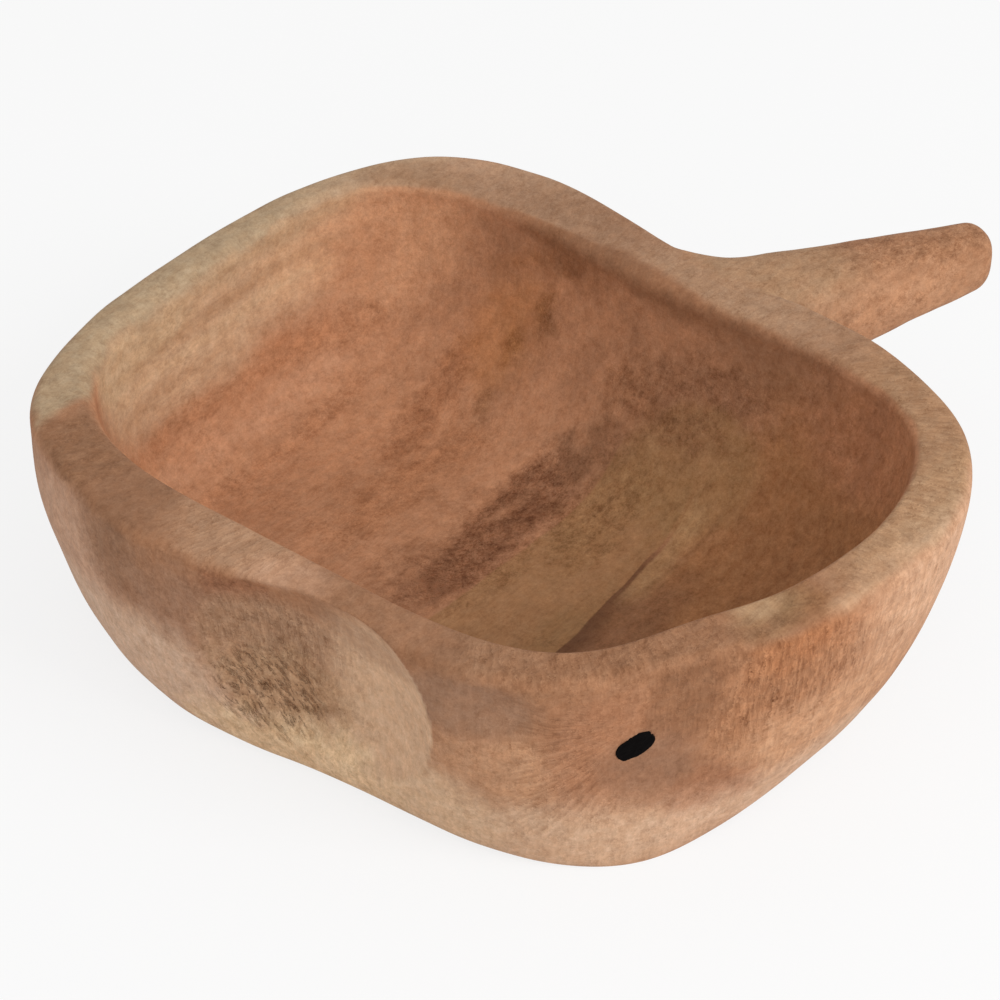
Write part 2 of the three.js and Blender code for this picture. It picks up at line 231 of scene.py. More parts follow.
def closed_skin(rings: np.ndarray, ends: np.ndarray | None = None) -> tuple[np.ndarray, list]:
    """A closed surface over rings of points: four-sided faces between the rings, and at each end a fan
    of three-sided faces from one point.

    Args:
        rings: points as rings x points in a ring x 3. The faces look along the cross product of the
            way round a ring and the way to the next ring.
        ends: the points at the two ends. Without them each is the middle of its ring.

    Returns:
        The points, ring by ring and then the ends, and the faces as lists of vertex numbers.
    """
    rows, columns = rings.shape[:2]
    count = rows * columns
    if ends is None:
        ends = np.stack([rings[0].mean(0), rings[-1].mean(0)])
    i = np.arange(rows - 1)[:, None] * columns
    j = np.arange(columns)
    k = (j + 1) % columns
    faces = np.stack([i + j, i + k, i + columns + k, i + columns + j], -1).reshape(-1, 4).tolist()
    for tip, ring, a, b in ((count, 0, k, j), (count + 1, count - columns, j, k)):
        faces += np.stack([np.full(columns, tip), ring + a, ring + b], -1).tolist()
    return np.concatenate([rings.reshape(-1, 3), ends]), faces


@dataclass
class StemLine:
    """The line that the stem and its root are carved about."""

    length: float = 81
    bearing: float = -5
    lean: float = -31
    standoff: float = 15
    root_half_width: float = 21.5
    tip_half_width: float = 9.6
    root_half_depth: float = 19.8
    tip_half_depth: float = 11.5
    top: float = 81.6
    tip_round: float = 7
    root_squareness: float = 2.8
    tip_squareness: float = 2.5

    def axes(self) -> tuple[np.ndarray, np.ndarray]:
        """Unit vectors along the stem and to its left, both level."""
        turn = np.radians(self.lean)
        return np.array([np.cos(turn), np.sin(turn), 0]), np.array([-np.sin(turn), np.cos(turn), 0])

    def ring(
        self, start: np.ndarray, along: np.ndarray, turn: np.ndarray, inset: np.ndarray
    ) -> np.ndarray:
        """Rounded-square rings about the stem's line, whose half sizes shrink evenly to the tip.

        Args:
            start: the point on the floor under the joint.
            along: distance from the joint, one for each ring.
            turn: angle round the ring, in radians.
            inset: how far each ring is drawn in all round.

        Returns:
            The rings' points, ring by ring.
        """
        way, left = self.axes()
        share = along / self.length
        half_width = self.root_half_width + (self.tip_half_width - self.root_half_width) * share
        half_depth = self.root_half_depth + (self.tip_half_depth - self.root_half_depth) * share
        squareness = self.root_squareness + (self.tip_squareness - self.root_squareness) * share
        a, b = rounded_square(turn[None, :], squareness[:, None])
        side = (half_width - inset)[:, None] * a
        height = (self.top - half_depth)[:, None] + (half_depth - inset)[:, None] * b
        level = start + along[:, None, None] * way + side[..., None] * left
        return level + height[..., None] * np.array([0, 0, 1])


@dataclass
class BowlBody:
    """The hollowed body, carved from one block, and the root of the stem that stands out of its rim.
    Places are bearings round the axis and rises up the wall, in degrees. The rim's widths are those at
    the stem, the blossom end, the left and the right. The foot and the floor are half sizes and a
    squareness. A soft edge is how much its radius grows, a bearing and a spread. The fullness and the
    belly are an amount, a bearing and a spread, and the belly has a rise and its spread too."""

    stem: StemLine
    height: float = 82
    rim_half_length: float = 119.5
    rim_half_width: float = 148
    rim_squareness: float = 3.0
    opening_squareness: float = 4.5
    rim_flare: float = 0.06
    rim_skew: float = 0.04
    rim_middle: float = 19
    rim_widths: tuple[float, float, float, float] = (25, 24, 16, 20)
    outer_round: float = 4.5
    inner_round: float = 2.5
    soft_edges: tuple[tuple[float, float, float], ...] = ((6.0, 108, 42), (3.0, 5, 40))
    foot: tuple[float, float, float] = (78, 122, 3.6)
    floor: tuple[float, float, float] = (52, 96, 2.6)
    floor_height: float = 13
    wall_lift: float = 1.25
    hollow_reach: float = 0.85
    hollow_lift: float = 1.35
    swells: tuple[Swell, ...] = (
        Swell(33, 19, 18, 7),
        Swell(-51, 18, -7, -9.5),
        Swell(134, 14, 3.5, -5.5),
        Swell(160, 14, 3.5, 0),
        Swell(-124, 18, -11, -12),
        Swell(0, 32, -5, -3.5),
        Swell(192, 17, -8, 0),
        Swell(-33, 9, -2.2, 0),
    )
    fullness: tuple[float, float, float] = (0.6, 171, 32)
    belly: tuple[float, float, float, float, float] = (2, 140, 28, 68, 14)
    scoop: Gouge = Gouge((-127, -15, 46), (43, 66, 66), 14)
    flat_place: tuple[float, float] = (-145, 76)
    flat_radii: tuple[float, float, float] = (140, 140, 62)
    flat_depth: float = 3.2
    rim_span: float = 18
    wall_crowding: float = 1.6
    columns: int = 400
    rows: tuple[int, ...] = (6, 112, 10, 10, 8, 62, 26)
    dense_bearing: float = -146
    density: float = 0.42
    carving_axis: float = 10

    def outline(self, b: np.ndarray, inside: bool) -> np.ndarray:
        """Rim outline: a rounded square, wider towards the stem, swollen and dipped by bearing, moved
        to the rim's middle and skewed to the right.

        Args:
            b: bearings in radians.
            inside: whether it is the opening's outline and not the outer one.

        Returns:
            The outline's points, two numbers each.
        """
        stem, blossom, left, right = self.rim_widths
        x, y = rounded_square(b, self.opening_squareness if inside else self.rim_squareness)
        half_length = self.rim_half_length - (stem + blossom) / 2 * inside
        half_width = self.rim_half_width - (left + right) / 2 * inside
        px = half_length * x + (blossom - stem) / 2 * inside
        py = half_width * y * (1 + self.rim_flare * x) + (right - left) / 2 * inside
        amount = sum(
            (s.inside if inside else s.outside) * hill(b, s.bearing, s.spread) for s in self.swells
        )
        grow = 1 + amount / np.hypot(px, py)
        px = px * grow + self.rim_middle
        return np.stack([px, py * grow - self.rim_skew * px], -1)

    def base_outline(self, b: np.ndarray, sizes: tuple[float, float, float]) -> np.ndarray:
        """Outline of the foot or floor: a plain rounded square of the given half sizes and squareness."""
        x, y = rounded_square(b, sizes[2])
        return np.stack([sizes[0] * x, sizes[1] * y], -1)

    def edge_round(self, b: np.ndarray) -> np.ndarray:
        """Radius of the opening's rounded edge: crisp in front, and worn rounder on the far sides."""
        worn = sum(more * hill(b, bearing, spread) for more, bearing, spread in self.soft_edges)
        return self.inner_round + worn

    def wall(self, b: np.ndarray, rise: np.ndarray) -> np.ndarray:
        """Outer wall: from the foot's outline to the rim's by the sine of the rise, and up by one less
        the cosine to a power, with a low belly below the rim.

        Args:
            b: bearings in radians.
            rise: 0 at the foot and a quarter turn at the rim's rounding.

        Returns:
            The wall's points.
        """
        full, full_bearing, full_spread = self.fullness
        swell, bearing, spread, middle, rise_spread = self.belly
        out = np.sin(rise) ** (1 - full * hill(b, full_bearing, full_spread))
        foot = self.base_outline(b, self.foot)
        p = foot + (self.outline(b, False) - foot) * out[..., None]
        belly = swell * hill(b, bearing, spread) * hill(rise, middle, rise_spread)
        p = p * (1 + belly / np.hypot(p[..., 0], p[..., 1]))[..., None]
        z = (self.height - self.outer_round) * (1 - np.cos(rise) ** self.wall_lift)
        return np.concatenate([p, z[..., None]], -1)

    def hollow(self, b: np.ndarray, rise: np.ndarray) -> np.ndarray:
        """Hollow: from the floor's outline to the opening's, in the same way as the wall.

        Args:
            b: bearings in radians.
            rise: 0 at the floor and a quarter turn at the rim's rounding.

        Returns:
            The hollow's points.
        """
        floor = self.base_outline(b, self.floor)
        out = np.sin(rise)[..., None] ** self.hollow_reach
        p = floor + (self.outline(b, True) - floor) * out
        depth = self.height - self.edge_round(b) - self.floor_height
        z = self.floor_height + depth * (1 - np.cos(rise) ** self.hollow_lift)
        return np.concatenate([p, z[..., None]], -1)

    def draw_in(self, p: np.ndarray, distance: np.ndarray) -> np.ndarray:
        """Moves points level towards the middle of the rim by a distance."""
        away = p[..., :2] - np.array([self.rim_middle, 0])
        away = away / np.linalg.norm(away, axis=-1, keepdims=True)
        return np.concatenate([p[..., :2] - away * np.asarray(distance)[..., None], p[..., 2:]], -1)

    def section(self, b: np.ndarray, v: np.ndarray) -> np.ndarray:
        """The body's plain surface. Whole parts of v are the foot, outer wall, outer rounding, rim top,
        inner rounding, hollow and floor, from the foot's middle to the floor's.

        Args:
            b: bearings in radians.
            v: place along the section, from 0 to 7, one for each bearing.

        Returns:
            The surface's points.
        """
        part = np.clip(np.floor(v), 0, 6).astype(int)
        t = v - part
        top = np.full_like(b, QUARTER)
        wall_top, hollow_top = self.wall(b, top), self.hollow(b, top)
        turn = t * QUARTER
        r, q = self.outer_round, self.edge_round(b)

        def at_height(p: np.ndarray, z: np.ndarray | float) -> np.ndarray:
            """The same points at another height."""
            return np.concatenate([p[..., :2], np.broadcast_to(z, b.shape)[..., None]], -1)

        foot = self.base_outline(b, self.foot) * t[..., None]
        floor = self.base_outline(b, self.floor) * (1 - t)[..., None]
        back = QUARTER - turn
        outer = self.draw_in(wall_top, r * (1 - np.cos(turn)))
        outer = at_height(outer, self.height - r * (1 - np.sin(turn)))
        inner = self.draw_in(hollow_top, -q * (1 - np.cos(back)))
        inner = at_height(inner, self.height - q * (1 - np.sin(back)))
        start = at_height(self.draw_in(wall_top, np.full_like(b, r)), self.height)
        end = at_height(self.draw_in(hollow_top, -q), self.height)
        choices = [
            at_height(foot, 0.0),
            self.wall(b, QUARTER * t**self.wall_crowding),
            outer,
            start + (end - start) * t[..., None],
            inner,
            self.hollow(b, back),
            at_height(floor, self.floor_height),
        ]
        return np.select([(part == i)[..., None] for i in range(len(choices))], choices)

    def flat_cut(self) -> Gouge:
        """The flat cut beside the scoop: a wide round tool set square to the wall and sunk a little."""
        bearing, rise = np.radians([[angle] for angle in self.flat_place])
        step = 1e-3
        tangent = self.wall(bearing + step, rise) - self.wall(bearing - step, rise)
        up = self.wall(bearing, rise + step) - self.wall(bearing, rise - step)
        normal = np.cross(tangent, up)[0] * np.array([1, 1, 0])
        out = normal / np.linalg.norm(normal) * (self.flat_radii[0] - self.flat_depth)
        return Gouge(tuple(self.wall(bearing, rise)[0] + out), self.flat_radii, 0)

    def rays(self, p: np.ndarray) -> tuple[np.ndarray, np.ndarray]:
        """Distances of points from the carving axis, and the level unit directions out to them."""
        away = p[..., :2] - np.array([self.carving_axis, 0])
        reach = np.maximum(np.linalg.norm(away, axis=-1), 1e-6)
        return reach, away / reach[..., None]

    def carve(self, p: np.ndarray) -> np.ndarray:
        """Cuts the scoop and the flat cut out of the outside: each point moves in along its level ray
        from the axis to the nearest gouge's entry.

        Args:
            p: points of the plain surface.

        Returns:
            The carved points.
        """
        cut, way = self.rays(p)
        for gouge in (self.scoop, self.flat_cut()):
            cut = soft_min(cut, gouge.entry(way, self.carving_axis, p[..., 2]), gouge.softness)
        level = way * cut[..., None] + np.array([self.carving_axis, 0])
        return np.concatenate([level, p[..., 2:]], -1)

    def scoop_depth(self, p: np.ndarray) -> np.ndarray:
        """How deep the scoop cuts into the plain surface at each point, in millimetres."""
        reach, way = self.rays(p)
        return reach - self.scoop.entry(way, self.carving_axis, p[..., 2])

    def root_start(self) -> np.ndarray:
        """The point on the floor under the stem's joint."""
        rim = self.outline(np.radians([self.stem.bearing]), False)[0]
        return np.array([*rim, 0]) + self.stem.axes()[0] * self.stem.standoff

    def columns_at(self) -> np.ndarray:
        """Bearings of the columns, closer together at the blossom end: t less a share of the sine of t,
        both measured from there."""
        t = np.linspace(0, 2 * np.pi, self.columns, endpoint=False)
        return t - self.density * np.sin(t) + np.radians(self.dense_bearing)

    def rows_at(self) -> np.ndarray:
        """Places of the rows along the section, between the two closed ends."""
        parts = [i + (np.arange(n) + 1) / n for i, n in enumerate(self.rows[:-1])]
        last = self.rows[-1]
        parts.append(len(self.rows) - 1 + (np.arange(last) + 1) / (last + 1))
        return np.concatenate(parts)

    def rim_reach(self, v: np.ndarray, z: np.ndarray) -> np.ndarray:
        """Distance along the section from the top of the wall: below 0 down the wall, over the outer
        rounding and in over the rim."""
        arc = self.outer_round * QUARTER
        down = z - (self.height - self.outer_round)
        return np.where(v < 2, down, np.where(v < 3, (v - 2) * arc, arc + (v - 3) * self.rim_span))

    def place_of_reach(self, reach: np.ndarray) -> np.ndarray:
        """The section's v at a distance from the top of the wall, the inverse of rim_reach."""
        arc = self.outer_round * QUARTER
        tall = self.height - self.outer_round
        share = np.clip((tall + reach) / tall, 0, 1)
        rise = np.arccos((1 - share) ** (1 / self.wall_lift))
        low = np.minimum(1 + (rise / QUARTER) ** (1 / self.wall_crowding), 2)
        over = np.where(reach < arc, 2 + reach / arc, 3 + (reach - arc) / self.rim_span)
        return np.where(reach < 0, low, over)


@dataclass
class StemRoot:
    """The root of the stem on the body: it leaves the rim flush, with a long fillet on its left, a short
    one below and a sharp notch on its right. Its skirt goes down into the body under its edge. The
    foot's middle and half sizes are to the left and over the rim. The pulls are how far the curves run
    on along the body: the least on the right, more on the left, and more over the rim and below it,
    between two limits of the cosine and the sine of the way round."""

    body: BowlBody
    sides: int = 150
    rows: int = 28
    middle: tuple[float, float] = (4.5, -13.5)
    half: tuple[float, float] = (27.5, 28.5)
    squareness: float = 2.9
    stem_side: float = 60
    bearings: tuple[float, float] = (-48, 40)
    halvings: int = 40
    within: float = 0.93
    joint_gap: float = 0.15
    pull_least: float = 1.5
    pull_left: float = 10
    left_share: tuple[float, float] = (-0.2, 0.9)
    pull_upright: float = 6
    upright_share: tuple[float, float] = (0.2, 0.9)
    pull_joint: float = 0.42
    crowding: float = 1.6
    turn_up: tuple[float, float] = (4, 1)
    sink: float = 3
    tuck: float = 0.04
    tuck_end: float = 0.05

    def outward(self, p: np.ndarray) -> np.ndarray:
        """Rough directions out of the body: away from the axis, turning up just below the rim's top."""
        level = p * np.array([1, 1, 0])
        level = level / np.linalg.norm(level, axis=-1, keepdims=True)
        start, end = (self.body.height - below for below in self.turn_up)
        high = smooth_step(p[:, 2], start, end)[:, None]
        return level * (1 - high) + np.array([0, 0, 1]) * high

    def distance(self, p: np.ndarray, v: np.ndarray) -> np.ndarray:
        """How far each point of the body lies from the middle of the root's foot, 1 on its edge.

        Args:
            p: points of the body.
            v: their places along the section.

        Returns:
            The distances, large away from the root.
        """
        left = self.body.stem.axes()[1]
        side = (p - self.body.root_start()) @ left
        reach = self.body.rim_reach(v, p[..., 2])
        a, b = (side - self.middle[0]) / self.half[0], (reach - self.middle[1]) / self.half[1]
        q = self.squareness
        far = (np.abs(a) ** q + np.abs(b) ** q) ** (1 / q)
        near = (v > 1) & (v < 4) & (p[..., 0] > self.stem_side)
        return np.where(near, far, FAR)

    def foot(self, turn: np.ndarray, scale: float) -> np.ndarray:
        """The edge of the root's foot on the body's surface, an oval in side offset and reach. The
        bearing of each point is found by halving an interval until its side offset is right.

        Args:
            turn: angles round the foot, in radians.
            scale: size of the oval, 1 for the edge itself.

        Returns:
            The points of the edge.
        """
        a, b = rounded_square(turn, self.squareness)
        side = self.middle[0] + self.half[0] * a * scale
        v = self.body.place_of_reach(self.middle[1] + self.half[1] * b * scale)
        left, start = self.body.stem.axes()[1], self.body.root_start()
        low, high = (np.full_like(turn, np.radians(bearing)) for bearing in self.bearings)
        for _ in range(self.halvings):
            middle = (low + high) / 2
            over = (self.body.section(middle, v) - start) @ left > side
            low, high = np.where(over, low, middle), np.where(over, middle, high)
        return self.body.section((low + high) / 2, v)

    def loft(self) -> tuple[np.ndarray, list]:
        """A skin from the foot to the joint: cubic curves that leave the body along its surface and
        reach the joint along the stem. They are tucked a hair under the surface and rise to their own
        line close to the foot, and a skirt goes down from the foot into the body.

        Returns:
            The points and faces, closed at the joint and under the body's surface.
        """
        turn = np.linspace(0, 2 * np.pi, self.sides, endpoint=False)
        way = self.body.stem.axes()[0]
        start = self.body.root_start()
        joint = self.body.stem.ring(start, np.array([self.joint_gap]), turn, np.zeros(1))[0]
        edge = self.foot(turn, 1.0)
        leave = self.foot(turn, self.within) - edge
        leave = leave / np.linalg.norm(leave, axis=-1, keepdims=True)
        pull_edge = self.pull_least + self.pull_left * smooth_step(np.cos(turn), *self.left_share)
        upright = smooth_step(np.abs(np.sin(turn)), *self.upright_share)
        pull_edge = pull_edge + self.pull_upright * upright
        pull_joint = np.linalg.norm(joint - edge, axis=-1) * self.pull_joint
        first, last = edge + leave * pull_edge[:, None], joint - way * pull_joint[:, None]
        t = np.linspace(0, 1, self.rows)[:, None, None] ** self.crowding
        rings = (1 - t) ** 3 * edge + 3 * (1 - t) ** 2 * t * first + 3 * (1 - t) * t**2 * last + t**3 * joint
        out = np.cross(np.roll(edge, -1, 0) - np.roll(edge, 1, 0), leave)
        out = out / np.linalg.norm(out, axis=-1, keepdims=True)
        out = out * np.sign((out * self.outward(edge)).sum(-1))[:, None]
        rings = rings - self.tuck * (1 - smooth_step(t, 0, self.tuck_end)) * out
        skirt = edge - out * self.sink + leave
        return closed_skin(np.concatenate([skirt[None], rings]))


@dataclass
class Knot:
    """The dead knot in the outer wall: an oval plug of black wood, flush with the wall. Its bearing,
    rise and tilt are in degrees. Its face lies below the wall, here a hair proud of it, and drops by
    the square of the distance over the sag. A roughness is a height and the size of its cells."""

    shape: BowlBody
    bearing: float = -128
    rise: float = 66
    half_length: float = 6.4
    half_width: float = 4.1
    tilt: float = 30
    squareness: float = 2.6
    depth: float = 8.5
    taper: float = 0.82
    below: float = -0.12
    dent: float = 1.7
    wall_reach: float = 6
    sag: float = 240
    roughness: tuple[tuple[float, float], ...] = ((0.22, 1.7), (0.12, 0.7))
    sides: int = 96
    side_rings: int = 6
    side_top: float = 0.5
    face_rings: int = 16
    face_middle: float = 0.04

    def axes(self) -> tuple[np.ndarray, np.ndarray, np.ndarray, np.ndarray]:
        """The knot's middle on the wall, its long and short axes in the wall, and the wall's outward
        direction there."""
        b, rise, step = np.radians([self.bearing]), np.radians([self.rise]), 1e-3
        round_ = (self.shape.wall(b + step, rise) - self.shape.wall(b - step, rise))[0]
        upward = (self.shape.wall(b, rise + step) - self.shape.wall(b, rise - step))[0]
        outward = np.cross(round_, upward)
        outward /= np.linalg.norm(outward)
        level = np.cross([0, 0, 1], outward)
        level /= np.linalg.norm(level)
        c, s = np.cos(np.radians(self.tilt)), np.sin(np.radians(self.tilt))
        long = c * level + s * np.cross(outward, level)
        return self.shape.wall(b, rise)[0], long, np.cross(outward, long), outward

    def distance(self, p: np.ndarray) -> np.ndarray:
        """How far points of the wall lie from the knot's middle, 1 on its edge."""
        middle, long, short, outward = self.axes()
        a, b = (p - middle) @ long / self.half_length, (p - middle) @ short / self.half_width
        q = self.squareness
        far = (np.abs(a) ** q + np.abs(b) ** q) ** (1 / q)
        return np.where(np.abs((p - middle) @ outward) < self.wall_reach, far, FAR)

    def build(self) -> bpy.types.Object:
        """Makes the plug: a dished, slightly rough face over a tapered oval side, closed at its end.

        Returns:
            The plug.
        """
        middle, long, short, outward = self.axes()
        turn = np.linspace(0, 2 * np.pi, self.sides, endpoint=False)
        a, b = rounded_square(turn, self.squareness)
        rough = Unevenness(31)
        face_shares = np.linspace(1, self.face_middle, self.face_rings)
        shares = np.concatenate([np.ones(self.side_rings), face_shares])
        side = np.linspace(self.depth, self.below + self.side_top, self.side_rings)
        depths = np.concatenate([side, np.full(self.face_rings, self.below)])
        taper = 1 - (1 - self.taper) * depths / self.depth
        across = (shares * taper)[:, None, None] * (
            a[:, None] * self.half_length * long + b[:, None] * self.half_width * short
        )
        drop = -(np.linalg.norm(across, axis=-1) ** 2) / self.sag
        points = middle + across + (drop - depths[:, None])[..., None] * outward
        face = np.arange(len(shares)) >= self.side_rings
        height = sum(high * rough.at(points, cell) for high, cell in self.roughness)
        points, faces = closed_skin(points + (height * face[:, None])[..., None] * outward)
        edge = np.arange(self.sides) + (self.side_rings - 1) * self.sides
        return make_piece("knot", points, faces, "knot_plug", (edge,))


def tone(red: int, green: int, blue: int) -> tuple[float, float, float, float]:
    """A colour given as it looks on a screen, 0 to 255, as the linear values that a shader takes."""
    channels = np.array([red, green, blue]) / 255
    linear = np.where(channels <= 0.04045, channels / 12.92, ((channels + 0.055) / 1.055) ** 2.4)
    return (*linear.tolist(), 1.0)


class Zone(Enum):
    """Which cut face of the wood a patch lies on."""

    OUTSIDE = "outside"
    SCOOP = "scoop"
    RIM = "rim"
    INSIDE = "inside"


@dataclass(frozen=True)
class Patch:
    """A cloud, band, streak or stain of another tone, or painted shade or light: an ellipsoid in
    millimetres, turned about the upright, with a soft edge that wavers. Flecks and strokes say how
    strongly dark specks and the marks of the tool show in it."""

    zone: Zone
    middle: tuple[float, float, float]
    radii: tuple[float, float, float]
    colour: tuple[int, int, int]
    share: float = 0.8
    soft: float = 0.8
    turn: float = 0
    mottled: float = 0
    flecks: float | None = None
    strokes: float | None = None
    waver: float = 1
    mottle_reach: float = 1.2

    def spread(self, p: np.ndarray, cloud: np.ndarray) -> np.ndarray:
        """How much of the patch shows: the distance from its middle in its own unit sphere, shifted by
        the clouds where it is mottled, stepped down over the soft edge.

        Args:
            p: points in millimetres, already made to waver.
            cloud: a smooth random height for each point.

        Returns:
            0 to 1 for each point.
        """
        c, s = np.cos(np.radians(self.turn)), np.sin(np.radians(self.turn))
        x, y, z = (p - np.array(self.middle)).T
        own = np.stack([c * x + s * y, c * y - s * x, z], -1) / np.array(self.radii)
        far = np.linalg.norm(own, axis=-1) - self.mottle_reach * self.mottled * cloud
        return smooth_step(far, 1 + self.soft / 2, 1 - self.soft / 2)


OUTSIDE, SCOOP, RIM, INSIDE = Zone
